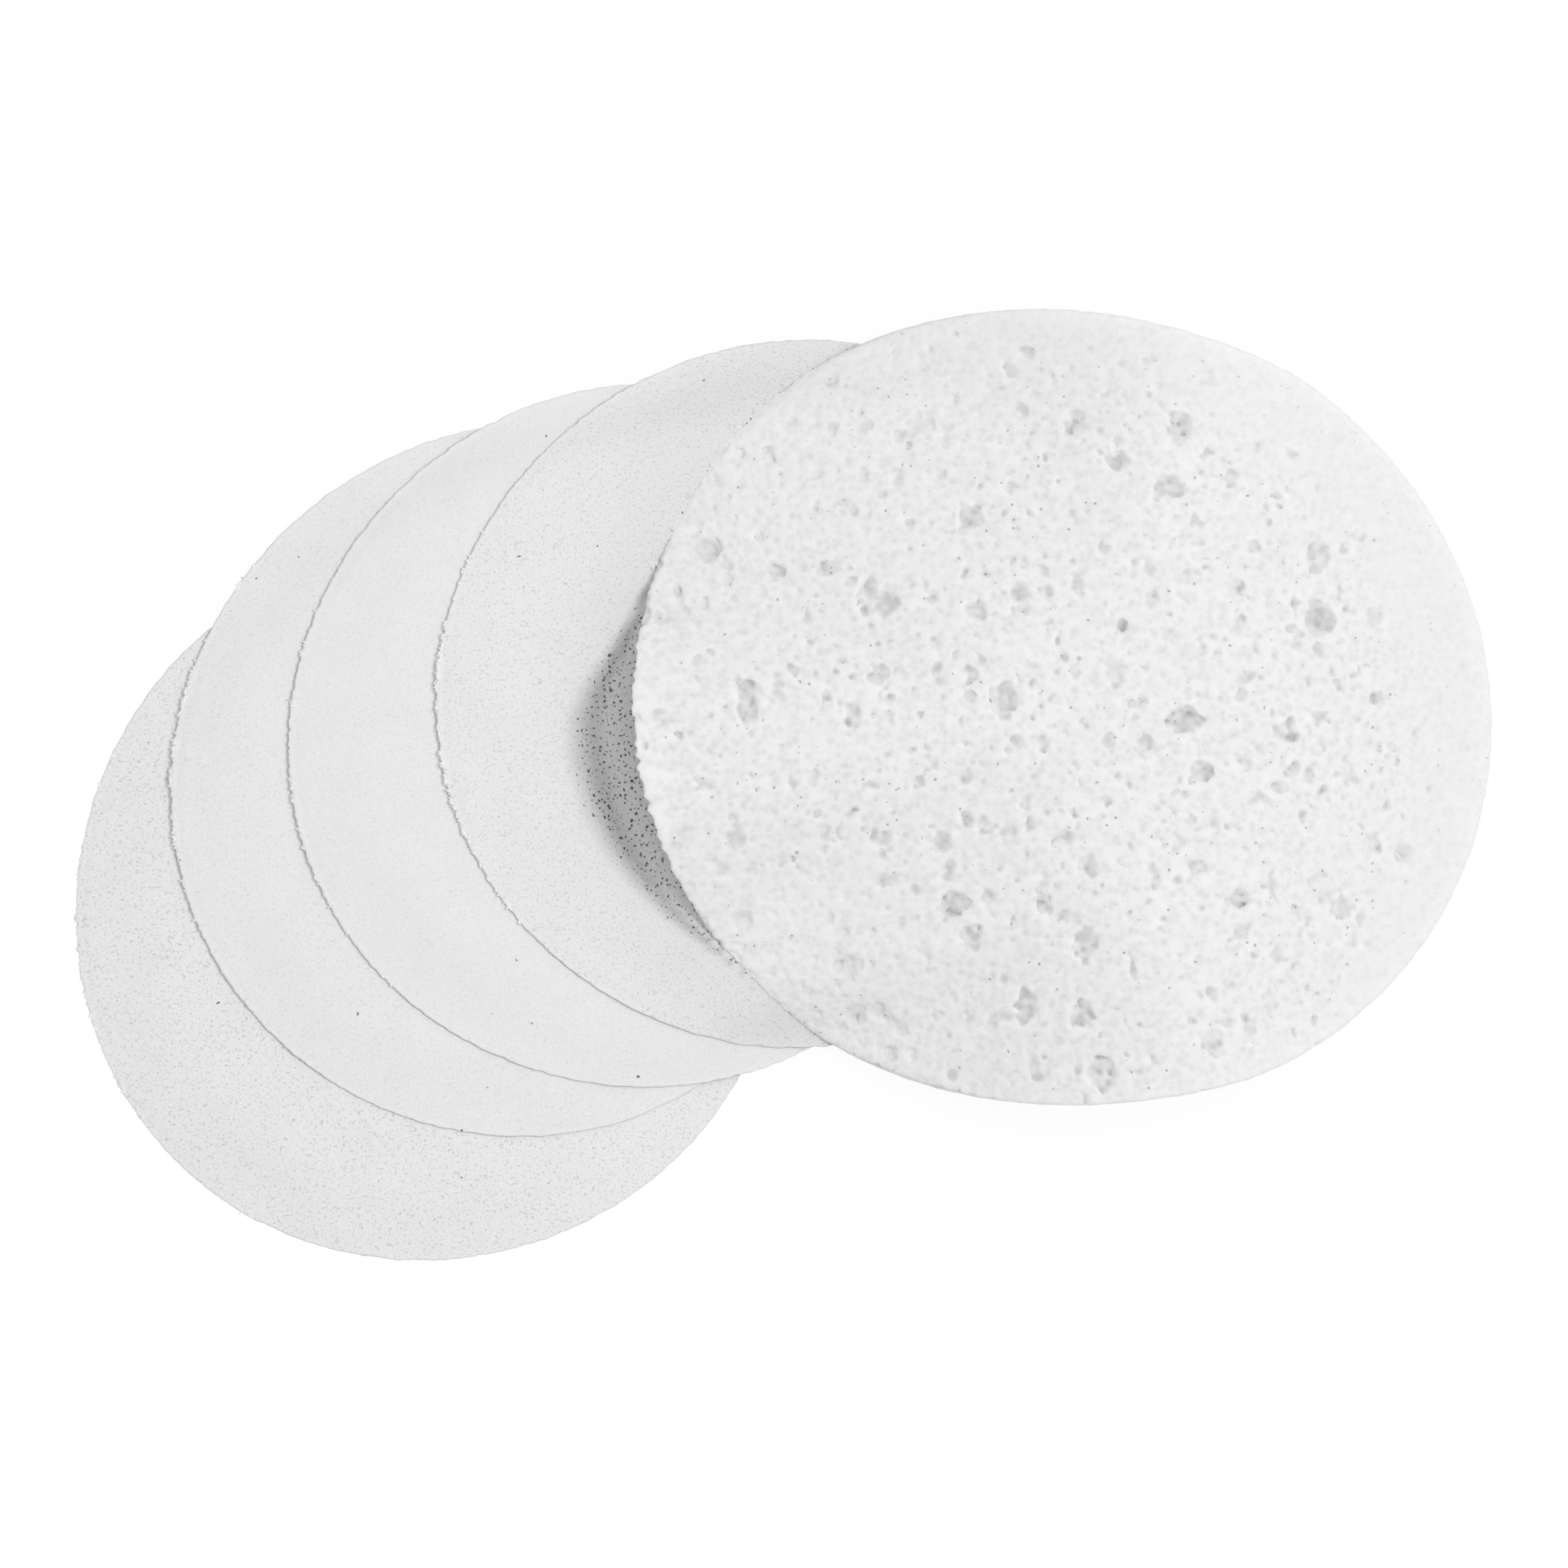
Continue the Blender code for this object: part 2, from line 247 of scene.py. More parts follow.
# Pressed sponges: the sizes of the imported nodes

pressed = {
    "diameter": 75.0,  # mm
    "thickness": 1.3,
    "seatGap": 0.3,
    "ovalShares": (0.002, 0.020, 0.008, 0.013),
    "ovalTurns": (43, 56, 22, 51),
    "lobeShares": (0.007, 0.009, 0.010, 0.013),
    "lobeTurns": (-18, -57, -45, -58),
    "rimSteps": 1536,  # points round the rim
    "faceStep": 0.7,  # mm between rings across the faces
    "narrowest": 0.6,  # of that step, between the points of a ring
    "fewestSteps": 9,  # points in a ring
    "band": 9.0,  # mm at the rim that the die's cut has shaped
    # mm in from the rim where its rings lie, with half the rim's points and with all of them
    "bandInsets": (8.2, 7.4, 6.6, 5.8, 5.1, 4.4, 3.8, 3.2, 2.7, 2.3, 2.0, 1.75, 1.5, 1.3, 1.12),
    "fineInsets": (0.95, 0.75, 0.58, 0.44, 0.32, 0.24, 0.17),
    "cornerTurns": (0, 15, 30, 45, 60, 75, 90),  # degrees over the rounded corner
    "crushes": (0.75, 1.05),  # mm of its height that the rim loses, on its sharp side and elsewhere
    "crushReach": 9.0,  # mm in from the rim
    "edgeRadius": 0.20,
    "sharpTurn": 185,  # degrees, the side where the die left a sharp corner
    "sharpSpread": 48,
    "sharpRadius": 0.10,
    "footRadius": 0.05,
    "swell": 0.11,  # mm that the soft faces fill of the gap between two sheets
    "swellReach": (0.3, 1.5),  # mm in from the rim where that begins and ends
    "leastGap": 0.02,  # mm that a face keeps from the middle of the gap
    "lip": 0.05,  # mm that the die's cut stands up
    "lipPlace": (0.06, 0.28, 0.60),  # mm in from the rim: its start, its crest and its end
    "lipRange": (0.1, 1.8),  # of its height, where the edge is more or less jagged
    "lipMiddle": 0.8,
    "lipJag": 0.6,
    "wave": 0.05,  # mm that the sheet bends up and down
    "waveLengths": (9.0, 34.0),
    "waveCount": 12,
    "ragged": 0.035,  # mm that the cut edge strays
    "raggedLengths": (0.9, 7.0),
    "raggedCount": 24,
    "raggedReach": 2.4,  # mm in from the rim
    "beads": 0.055,  # mm that its sharp side strays, bit by bit
    "beadLengths": (0.4, 1.1),
    "beadCount": 16,
    "beadReach": 0.5,  # mm in from the rim
    "seed": 11,
}

# Loose fibres along the cut edge, for each sheet: the side where they are thickest, how far round they
# reach (both in degrees), and how many there are on a square millimetre of the corner there
burrs = {
    "turns": (200, 170, 195, 184),
    "spreads": (50, 40, 50, 40),
    "counts": (4.0, 12.0, 4.0, 34.0),
    "tuftMiddle": 0.5,  # of that count, where the edge is neither bulged nor nicked
    "tuftMost": 2,
    "length": 0.90,  # mm
    "thickness": 0.30,
    "leastShares": (0.35, 0.6),  # of the length and the thickness, in the smallest
    "tilts": (0.35, 0.5),  # radians that they roll and pitch to each side
    "reach": 0.10,  # mm in from the rim
    "seed": 5,
}

pressedShapes = [
    outlineShape(pressed["diameter"] * (1 + oval), pressed["diameter"] * (1 - oval), turn, lobe, lobeTurn)
    for oval, turn, lobe, lobeTurn in zip(pressed["ovalShares"], pressed["ovalTurns"],
                                          pressed["lobeShares"], pressed["lobeTurns"])
]


def centreOf(node, shape):
    # The centre of a node's outline, from its packed box
    low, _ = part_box(node)
    return np.array((low[0] / mm + outlineReach(shape, (-1, 0)), low[1] / mm + outlineReach(shape, (0, -1)),
                     low[2] / mm))


pressedPlaces = [centreOf(f"pressed_sponge_{number}", shape)
                 for number, shape in enumerate(pressedShapes, start=1)]


# Swollen sponge: the same slice after wetting, bent over the pile's rim on its free side

swollen = {
    "length": 90.8,  # mm
    "width": 84.0,
    "thickness": 10.0,
    "edgeRadius": 0.55,
    "turn": -15,
    "lobeShare": 0.009,
    "lobeTurn": -5,
    "stepShares": (0.374, -0.021),  # from the pressed sponge below, as shares of its diameter
    "bendLength": 12.0,
    "footSquash": 0.8,
    "lift": 2.8,  # mm that its free left tip stands off the pile
    "liftTurn": 189,
    "liftSpread": 32,  # degrees to each side
    "liftDepth": 30.0,  # mm in from the rim
    "liftMost": 1.1,  # of the way from there to the rim, for what strays past the rim
    "liftPower": 2,  # how sharply it bends up
    "rimTurns": (62, 128, 154, 184, 191, 217, 230, 292),  # degrees round the rim
    "rimHeights": (10.0, 0.35, 0.35, 6.6, 6.6, 0.45, 0.4, 10.0),  # mm that stay of its thickness there
    "thinDepth": 38.0,  # mm in from the rim
    "thinMost": 1.05,  # as liftMost
    "thinPower": 1.15,
    "ragged": 0.15,  # mm that the cut edge strays on its lifted side
    "raggedSpread": 43.2,  # degrees to each side
    "raggedLengths": (0.8, 3.6),
    "raggedCount": 24,
    "raggedReach": 2.2,  # mm in from the rim
    "raggedSeed": 23,
    "skin": 1.2,  # mm under the cut face that the thinning doesn't squeeze
    "skinShare": 0.8,  # of what stays of the thickness, which that skin may fill
    "settled": 0.28,  # mm that the thin rim sinks into the sheet's soft face
    "settledPower": 3,  # which keeps that to where it is thinnest
    "leanTurn": 188,  # where the cut edge leans out furthest
    "leanSpread": 36,
    "leanTop": 2.0,  # mm out at the top
    "leanFoot": 0.9,  # mm in at the foot
    "leanDepth": 7.0,
    "voxel": 0.25,
    "margin": 0.8,
    "cellDepthShare": 0.70,  # of a large cell's half width, times its own share below
    "wobble": 0.30,  # mm that the cells' walls stray from round
    "wobbleSize": 1.1,
    "unevenness": 0.16,  # mm that the cut face rises and falls
    "unevenSize": 1.5,
    "leastCrumb": 160,  # points in the smallest bit of foam that stays
}

# Layers of cells, by size: spacing, least and most radius in mm, the share of places that hold one,
# how far they stretch along Y, and how deep a centre may lie as a share of its radius
cellLayers = {
    "Broad": {"spacing": 3.8, "least": 0.7, "most": 1.5, "share": 0.50, "stretch": 1.30, "sink": -0.15},
    "Middle": {"spacing": 1.65, "least": 0.38, "most": 0.80, "share": 0.92, "stretch": 1.25, "sink": 0.10},
    "Small": {"spacing": 0.85, "least": 0.24, "most": 0.42, "share": 0.95, "stretch": 1.20, "sink": 0.45},
}
layerShift = (17.3, 5.1, 9.7)  # mm from one layer's pattern to the next one's
# Away from this place the cells thin out, so the right and upper margins are close and smooth
closeMargin = {"Open middle": (-8.0, -5.0, 0.0), "Open reach": 39.0, "Close reach": 48.0}

# Large cells that the photograph shows, in its pixels: place, width, height; then depth in tenths of half
# the smaller of the two
largeCells = (
    (1027, 470, 24, 24, 10), (972, 520, 26, 24, 7), (1062, 523, 24, 30, 7), (1138, 520, 32, 32, 6),
    (1115, 537, 24, 32, 8), (1165, 535, 22, 42, 7), (1137, 432, 26, 16, 7), (1270, 435, 18, 22, 7),
    (1248, 457, 16, 22, 11), (985, 562, 16, 22, 8), (907, 567, 16, 26, 9), (880, 590, 26, 22, 8),
    (1010, 580, 14, 26, 10), (1108, 592, 20, 30, 8), (1040, 622, 18, 24, 10), (1197, 638, 32, 34, 10),
    (860, 650, 16, 32, 7), (873, 678, 24, 34, 12), (935, 655, 16, 26, 8), (958, 703, 20, 24, 10),
    (1018, 700, 26, 22, 11), (1032, 665, 13, 13, 12), (1072, 735, 24, 48, 12), (835, 755, 36, 30, 7),
    (867, 742, 16, 22, 12), (1215, 703, 30, 14, 9), (1205, 753, 34, 28, 9), (1258, 750, 26, 28, 7),
    (978, 820, 14, 32, 10), (1080, 830, 28, 26, 9), (1197, 828, 22, 30, 10), (1237, 860, 36, 46, 10),
    (922, 863, 30, 64, 11), (1052, 882, 24, 42, 10), (812, 885, 30, 26, 6), (905, 1040, 22, 26, 7),
    (870, 965, 26, 20, 9), (1002, 960, 22, 26, 8), (978, 967, 15, 22, 11), (890, 1070, 24, 26, 7),
    (922, 1070, 20, 20, 8), (968, 1058, 24, 16, 11), (1072, 968, 28, 18, 7), (1085, 1033, 30, 24, 9),
    (1155, 1042, 18, 22, 10), (1212, 1018, 20, 28, 9), (1243, 1028, 26, 24, 9), (1312, 1030, 26, 30, 9),
    (1190, 960, 20, 26, 8), (1285, 915, 30, 32, 5), (1100, 1083, 28, 16, 11), (1172, 1078, 18, 24, 8),
    (1173, 1115, 32, 34, 12), (1218, 1103, 22, 20, 10), (1286, 1112, 24, 30, 10), (1250, 1138, 14, 18, 10),
    (1198, 1155, 28, 36, 11), (1108, 1138, 20, 24, 7), (1038, 1148, 18, 22, 12), (1045, 1187, 42, 36, 6),
    (915, 1135, 28, 32, 8), (1140, 1173, 24, 20, 8), (1055, 1250, 26, 24, 10), (1083, 1252, 14, 18, 9),
    (1110, 1265, 20, 28, 7), (1266, 1238, 28, 36, 11), (1234, 1252, 38, 18, 9), (1197, 1263, 20, 24, 8),
    (1275, 1317, 18, 18, 9), (840, 1030, 24, 38, 6), (1327, 520, 34, 36, 7), (1382, 450, 14, 16, 10),
    (1417, 440, 22, 18, 6), (1490, 470, 24, 34, 5), (1455, 525, 30, 44, 9), (1378, 568, 30, 28, 11),
    (1440, 600, 36, 32, 10), (1549, 556, 16, 34, 8), (1480, 575, 18, 18, 7), (1517, 592, 20, 26, 8),
    (1574, 610, 14, 14, 13), (1477, 645, 20, 18, 8), (1655, 627, 18, 20, 5), (1675, 660, 30, 20, 6),
    (1417, 700, 18, 28, 11), (1465, 712, 20, 26, 10), (1555, 703, 28, 18, 6), (1522, 722, 24, 24, 7),
    (1627, 686, 32, 46, 10), (1650, 730, 18, 26, 8), (1628, 762, 42, 42, 11), (1695, 761, 24, 36, 8),
    (1330, 730, 20, 40, 5), (1421, 738, 20, 22, 9), (1525, 768, 20, 34, 7), (1440, 782, 20, 18, 8),
    (1387, 780, 26, 36, 7), (1375, 828, 32, 36, 5), (1536, 833, 28, 18, 12), (1405, 865, 22, 20, 10),
    (1620, 805, 36, 22, 5), (1735, 840, 18, 40, 5), (1703, 862, 26, 20, 9), (1627, 885, 24, 22, 10),
    (1461, 887, 44, 34, 12), (1412, 920, 34, 34, 6), (1590, 905, 24, 40, 7), (1635, 918, 14, 24, 9),
    (1746, 905, 16, 26, 9), (1480, 952, 22, 30, 12), (1590, 948, 22, 20, 8), (1668, 958, 22, 22, 8),
    (1578, 970, 26, 20, 10), (1552, 985, 34, 16, 10), (1334, 960, 14, 28, 8), (1466, 1014, 14, 20, 11),
    (1497, 1012, 18, 30, 8), (1690, 1037, 22, 36, 8), (1731, 1052, 34, 28, 9), (1338, 1065, 20, 30, 8),
    (1477, 1068, 22, 22, 8), (1588, 1065, 34, 18, 6), (1627, 1078, 26, 30, 6), (1570, 1090, 26, 18, 10),
    (1320, 1130, 26, 22, 8), (1529, 1108, 24, 30, 13), (1600, 1115, 18, 34, 7), (1654, 1120, 30, 28, 9),
    (1530, 1148, 22, 28, 9), (1337, 1162, 32, 42, 10), (1435, 1155, 18, 44, 5), (1520, 1170, 24, 24, 7),
    (1667, 1160, 20, 30, 6), (1404, 1208, 16, 30, 8), (1525, 1215, 18, 20, 7), (1567, 1230, 20, 50, 5),
    (1334, 1250, 30, 42, 10), (1539, 1263, 20, 36, 9), (1495, 1283, 28, 44, 8), (1357, 1320, 38, 44, 8),
    (1395, 1323, 20, 16, 8), (1516, 1260, 24, 20, 7), (1322, 1295, 14, 24, 8),
)

swollenShape = outlineShape(swollen["length"], swollen["width"], swollen["turn"],
                            swollen["lobeShare"], swollen["lobeTurn"])
stepBelow = np.array(swollen["stepShares"]) * pressed["diameter"]
swollenPlace = np.array((pressedPlaces[3][0] + stepBelow[0], pressedPlaces[3][1] + stepBelow[1],
                         pressedPlaces[3][2] + pressed["thickness"] + pressed["seatGap"]))


def solveDroop():
    # Flat as far as the rim below, then a round bend and a straight slope down to the table
    direction = stepBelow / np.linalg.norm(stepBelow)
    start = outlineReach(pressedShapes[3], direction) - np.linalg.norm(stepBelow)
    overhang = outlineReach(swollenShape, direction) - start
    bend = swollen["bendLength"]
    low, high = 0.0, math.radians(90)
    for _ in range(40):  # each try halves what is left to search
        slope = (low + high) / 2
        fall = bend / slope * (1 - math.cos(slope)) + (overhang - bend) * math.sin(slope)
        if fall < swollenPlace[2] + swollen["footSquash"]:
            low = slope
        else:
            high = slope
    return {"direction": direction, "start": start, "bend": bend, "slope": slope}


droop = solveDroop()


def crushed(insets, sharp):
    # How much lower a sheet's upper face lies towards its rim, in mm
    least, most = pressed["crushes"]
    return (most + (least - most) * sharp) * (1 - ease(insets / pressed["crushReach"]))


def rimOf(places, number):
    # For places in the frame (mm): the inset from a sheet's rim, and how sharp its rim is there
    angles, reaches = polar(places - pressedPlaces[number - 1][:places.shape[1]])
    insets = outlineRadius(pressedShapes[number - 1], angles) - reaches
    return insets, near(angles, pressed["sharpTurn"], pressed["sharpSpread"])


def fallOn(places, number):
    # How far below its flat height the upper face of a sheet lies, in mm. Each sheet's rim has bent down on
    # the crushed rim of the one below
    fall = np.zeros(len(places))
    for lower in range(1, number + 1):
        insets, sharp = rimOf(places, lower)
        fall = (1 - ease(insets / pressed["crushReach"])) * fall + crushed(np.maximum(insets, 0), sharp)
    return fall


def thinning(points):
    # How much of its thickness (mm) the flat slice has lost at each point
    full = swollen["thickness"]
    angles, reaches = polar(points)
    turns = np.degrees(angles) % 360
    thinned = np.zeros(len(points))
    stations = list(zip(swollen["rimTurns"], swollen["rimHeights"]))
    for (start, first), (end, second) in zip(stations, stations[1:]):
        share = ease((turns - start) / (end - start))
        between = (turns >= start) & (turns < end)
        thinned = np.where(between, full - first - (second - first) * share, thinned)
    insets = outlineRadius(swollenShape, angles) - reaches
    outward = np.clip(1 - insets / swollen["thinDepth"], 0, swollen["thinMost"])
    return thinned * outward ** swollen["thinPower"]


def shapeRim(points):
    # The free tip lifts, the rim thins to each side of it, and the cut edge leans out over its foot
    angles, reaches = polar(points)
    insets = outlineRadius(swollenShape, angles) - reaches
    full = swollen["thickness"]
    level = points[:, 2] / full
    thinned = thinning(points)
    skin = np.minimum(swollen["skin"], swollen["skinShare"] * (full - thinned))
    squeezed = points[:, 2] * (full - thinned - skin) / (full - skin)
    shaped = points.copy()
    shaped[:, 2] = np.where(points[:, 2] > full - skin, points[:, 2] - thinned, squeezed)
    shaped[:, 2] -= swollen["settled"] * (thinned / full) ** swollen["settledPower"]
    shaped[:, 2] -= thinned / full * fallOn(points[:, :2] + swollenPlace[:2], len(pressedShapes))
    rise = np.clip(1 - insets / swollen["liftDepth"], 0, swollen["liftMost"]) ** swollen["liftPower"]
    shaped[:, 2] += swollen["lift"] * near(angles, swollen["liftTurn"], swollen["liftSpread"]) * rise
    out = swollen["leanTop"] * level - swollen["leanFoot"] * (1 - level)
    out *= near(angles, swollen["leanTurn"], swollen["leanSpread"]) * ease(1 - insets / swollen["leanDepth"])
    jagged = rimRipples(np.random.default_rng(swollen["raggedSeed"]), angles, swollenShape["meanRadius"],
                        swollen["raggedLengths"], swollen["raggedCount"])
    loose = near(angles, swollen["leanTurn"], swollen["raggedSpread"])
    out += swollen["ragged"] * jagged * loose * ease(1 - insets / swollen["raggedReach"])
    moveOut(shaped, angles, out)
    return shaped


def settle(points):
    # Moves points (mm) of the flat slice to where they lie in the frame
    points = shapeRim(points)
    run = points[:, 0] * droop["direction"][0] + points[:, 1] * droop["direction"][1] - droop["start"]
    run = np.maximum(run, 0)
    bend = np.minimum(run, droop["bend"])
    straight = run - bend
    turned = droop["slope"] * bend / droop["bend"]
    bendRadius = droop["bend"] / droop["slope"]
    height = points[:, 2]
    out = (bendRadius + height) * np.sin(turned) + straight * np.cos(turned) - run
    fall = (bendRadius + height) * (1 - np.cos(turned)) + straight * np.sin(turned)
    settled = points + np.outer(out, (*droop["direction"], 0))
    settled[:, 2] = np.maximum(height - fall, -swollenPlace[2])
    return settled + swollenPlace


def flatPlaceOf(pixel):
    # The point of the flat slice's upper face that ends up under a pixel of the photograph
    place = np.array((0.0, 0.0, swollen["thickness"]))
    for _ in range(8):  # each try moves it by what it missed
        missed = np.array(pixel) - pictureOf(camera, settle(place[None, :])[0] * mm)
        place[0] += missed[0] * pixelSize
        place[1] -= missed[1] * pixelSize
    return place


# Geometry Nodes: the swollen sponge's open cells

sliceSizes = ("Mean radius", "Oval share", "Oval turn", "Lobe share", "Lobe turn", "Thickness",
              "Edge radius")
sliceSockets = [(size, "Float") for size in sliceSizes]
layerSizes = ("spacing", "least", "most", "share", "stretch", "sink")
marginSockets = [("Open middle", "Vector"), ("Open reach", "Float"), ("Close reach", "Float")]


def sliceDepthTree():
    # How deep a place lies inside the flat slice with rounded edges, below zero outside it
    tree, takes, gives = newTree("slice depth", [("Place", "Vector"), *sliceSockets], [("Depth", "Float")])
    place = addNode(tree, "ShaderNodeSeparateXYZ", takes["Place"])
    angle = addNode(tree, "ShaderNodeMath", place.outputs["Y"], place.outputs["X"], operation="ARCTAN2")
    waves = []
    for count, share, turn in ((2, "Oval share", "Oval turn"), (3, "Lobe share", "Lobe turn")):
        turned = addNode(tree, "ShaderNodeMath", angle, takes[turn], operation="SUBTRACT")
        phase = addNode(tree, "ShaderNodeMath", turned, count, operation="MULTIPLY")
        wave = addNode(tree, "ShaderNodeMath", phase, operation="COSINE")
        waves.append(addNode(tree, "ShaderNodeMath", wave, takes[share], operation="MULTIPLY"))
    swell = addNode(tree, "ShaderNodeMath", *waves, operation="ADD")
    rim = addNode(tree, "ShaderNodeMath", swell, takes["Mean radius"], takes["Mean radius"],
                  operation="MULTIPLY_ADD")
    level = addNode(tree, "ShaderNodeVectorMath", takes["Place"], (1, 1, 0), operation="MULTIPLY")
    reach = addNode(tree, "ShaderNodeVectorMath", level, operation="LENGTH")
    past = addNode(tree, "ShaderNodeMath", reach, rim, operation="SUBTRACT")
    half = addNode(tree, "ShaderNodeMath", takes["Thickness"], 0.5, operation="MULTIPLY")
    above = addNode(tree, "ShaderNodeMath", place.outputs["Z"], half, operation="SUBTRACT")
    away = addNode(tree, "ShaderNodeMath", above, operation="ABSOLUTE")
    over = addNode(tree, "ShaderNodeMath", away, half, operation="SUBTRACT")
    sides = [addNode(tree, "ShaderNodeMath", side, takes["Edge radius"], operation="ADD")
             for side in (past, over)]
    outside = [addNode(tree, "ShaderNodeMath", side, 0.0, operation="MAXIMUM") for side in sides]
    corner = addNode(tree, "ShaderNodeCombineXYZ", *outside)
    rounded = addNode(tree, "ShaderNodeVectorMath", corner, operation="LENGTH")
    nearer = addNode(tree, "ShaderNodeMath", *sides, operation="MAXIMUM")
    inside = addNode(tree, "ShaderNodeMath", nearer, 0.0, operation="MINIMUM")
    distance = addNode(tree, "ShaderNodeMath", rounded, inside, operation="ADD")
    depth = addNode(tree, "ShaderNodeMath", takes["Edge radius"], distance, operation="SUBTRACT")
    fillInputs(tree, gives, {"Depth": depth})
    return tree


def bodyDepthTree(sliceDepth):
    # How deep a place lies inside the slice less its large cells, each an ellipsoid round its seed point
    tree, takes, gives = newTree("body depth", [("Seeds", "Geometry"), ("Place", "Vector"), *sliceSockets],
                                 [("Depth", "Float")])
    inSlice = addNode(tree, "GeometryNodeGroup", pick(takes, ("Place", *sliceSizes)), node_tree=sliceDepth)
    nearest = addNode(tree, "GeometryNodeSampleNearest", {"Geometry": takes["Seeds"],
                                                         "Sample Position": takes["Place"]})
    here = addNode(tree, "GeometryNodeInputPosition")
    halves = addNode(tree, "GeometryNodeInputNamedAttribute", "halfSizes", data_type="FLOAT_VECTOR")
    centre, half = [addNode(tree, "GeometryNodeSampleIndex",
                            {"Geometry": takes["Seeds"], "Value": value, "Index": nearest},
                            data_type="FLOAT_VECTOR") for value in (here, halves)]
    away = addNode(tree, "ShaderNodeVectorMath", takes["Place"], centre, operation="SUBTRACT")
    shares = addNode(tree, "ShaderNodeVectorMath", away, half, operation="DIVIDE")
    reach = addNode(tree, "ShaderNodeVectorMath", shares, operation="LENGTH")
    sides = addNode(tree, "ShaderNodeSeparateXYZ", half)
    least = addNode(tree, "ShaderNodeMath", sides.outputs["X"], sides.outputs["Y"], operation="MINIMUM")
    outside = addNode(tree, "ShaderNodeMath", reach, 1.0, operation="SUBTRACT")
    wall = addNode(tree, "ShaderNodeMath", outside, least, operation="MULTIPLY")
    depth = addNode(tree, "ShaderNodeMath", inSlice, wall, operation="MINIMUM")
    fillInputs(tree, gives, {"Depth": depth})
    return tree


def cellLayerTree(bodyDepth):
    # One size of round cells scattered through the foam. Only those that the cut face opens are hollow
    tree, takes, gives = newTree("cell layer", [
        ("Seeds", "Geometry"), ("Place", "Vector"), ("Shift", "Vector"),
        *[(size, "Float") for size in layerSizes], *marginSockets, *sliceSockets], [("Wall", "Float")])
    stretch = addNode(tree, "ShaderNodeCombineXYZ", 1.0, takes["stretch"], 1.0)
    squeezed = addNode(tree, "ShaderNodeVectorMath", takes["Place"], stretch, operation="DIVIDE")
    shifted = addNode(tree, "ShaderNodeVectorMath", squeezed, takes["Shift"], operation="ADD")
    scale = addNode(tree, "ShaderNodeMath", 1.0, takes["spacing"], operation="DIVIDE")
    cells = addNode(tree, "ShaderNodeTexVoronoi", {"Vector": shifted, "Scale": scale, "Randomness": 1.0})
    draws = addNode(tree, "FunctionNodeSeparateColor", cells.outputs["Color"])
    radius = addNode(tree, "ShaderNodeMapRange", {
        "Value": draws.outputs["Red"], "To Min": takes["least"], "To Max": takes["most"]})
    unshifted = addNode(tree, "ShaderNodeVectorMath", cells.outputs["Position"], takes["Shift"],
                        operation="SUBTRACT")
    centre = addNode(tree, "ShaderNodeVectorMath", unshifted, stretch, operation="MULTIPLY")
    under = addNode(tree, "GeometryNodeGroup", {**pick(takes, ("Seeds", *sliceSizes)), "Place": centre},
                    node_tree=bodyDepth)
    deepest = addNode(tree, "ShaderNodeMath", radius, takes["sink"], operation="MULTIPLY")
    opened = addNode(tree, "ShaderNodeMath", under, deepest, operation="LESS_THAN")
    fromMiddle = addNode(tree, "ShaderNodeVectorMath", centre, takes["Open middle"], operation="DISTANCE")
    openShare = addNode(tree, "ShaderNodeMapRange", {
        "Value": fromMiddle, "From Min": takes["Open reach"], "From Max": takes["Close reach"],
        "To Min": takes["share"], "To Max": 0.0})
    there = addNode(tree, "ShaderNodeMath", draws.outputs["Green"], openShare, operation="LESS_THAN")
    hollow = addNode(tree, "ShaderNodeMath", opened, there, operation="MULTIPLY")
    size = addNode(tree, "ShaderNodeMath", hollow, radius, operation="MULTIPLY")
    away = addNode(tree, "ShaderNodeMath", cells.outputs["Distance"], takes["spacing"], operation="MULTIPLY")
    wall = addNode(tree, "ShaderNodeMath", away, size, operation="SUBTRACT")
    solid = addNode(tree, "ShaderNodeMath", 1.0, hollow, operation="SUBTRACT")
    kept = addNode(tree, "ShaderNodeMath", solid, takes["spacing"], wall, operation="MULTIPLY_ADD")
    fillInputs(tree, gives, {"Wall": kept})
    return tree


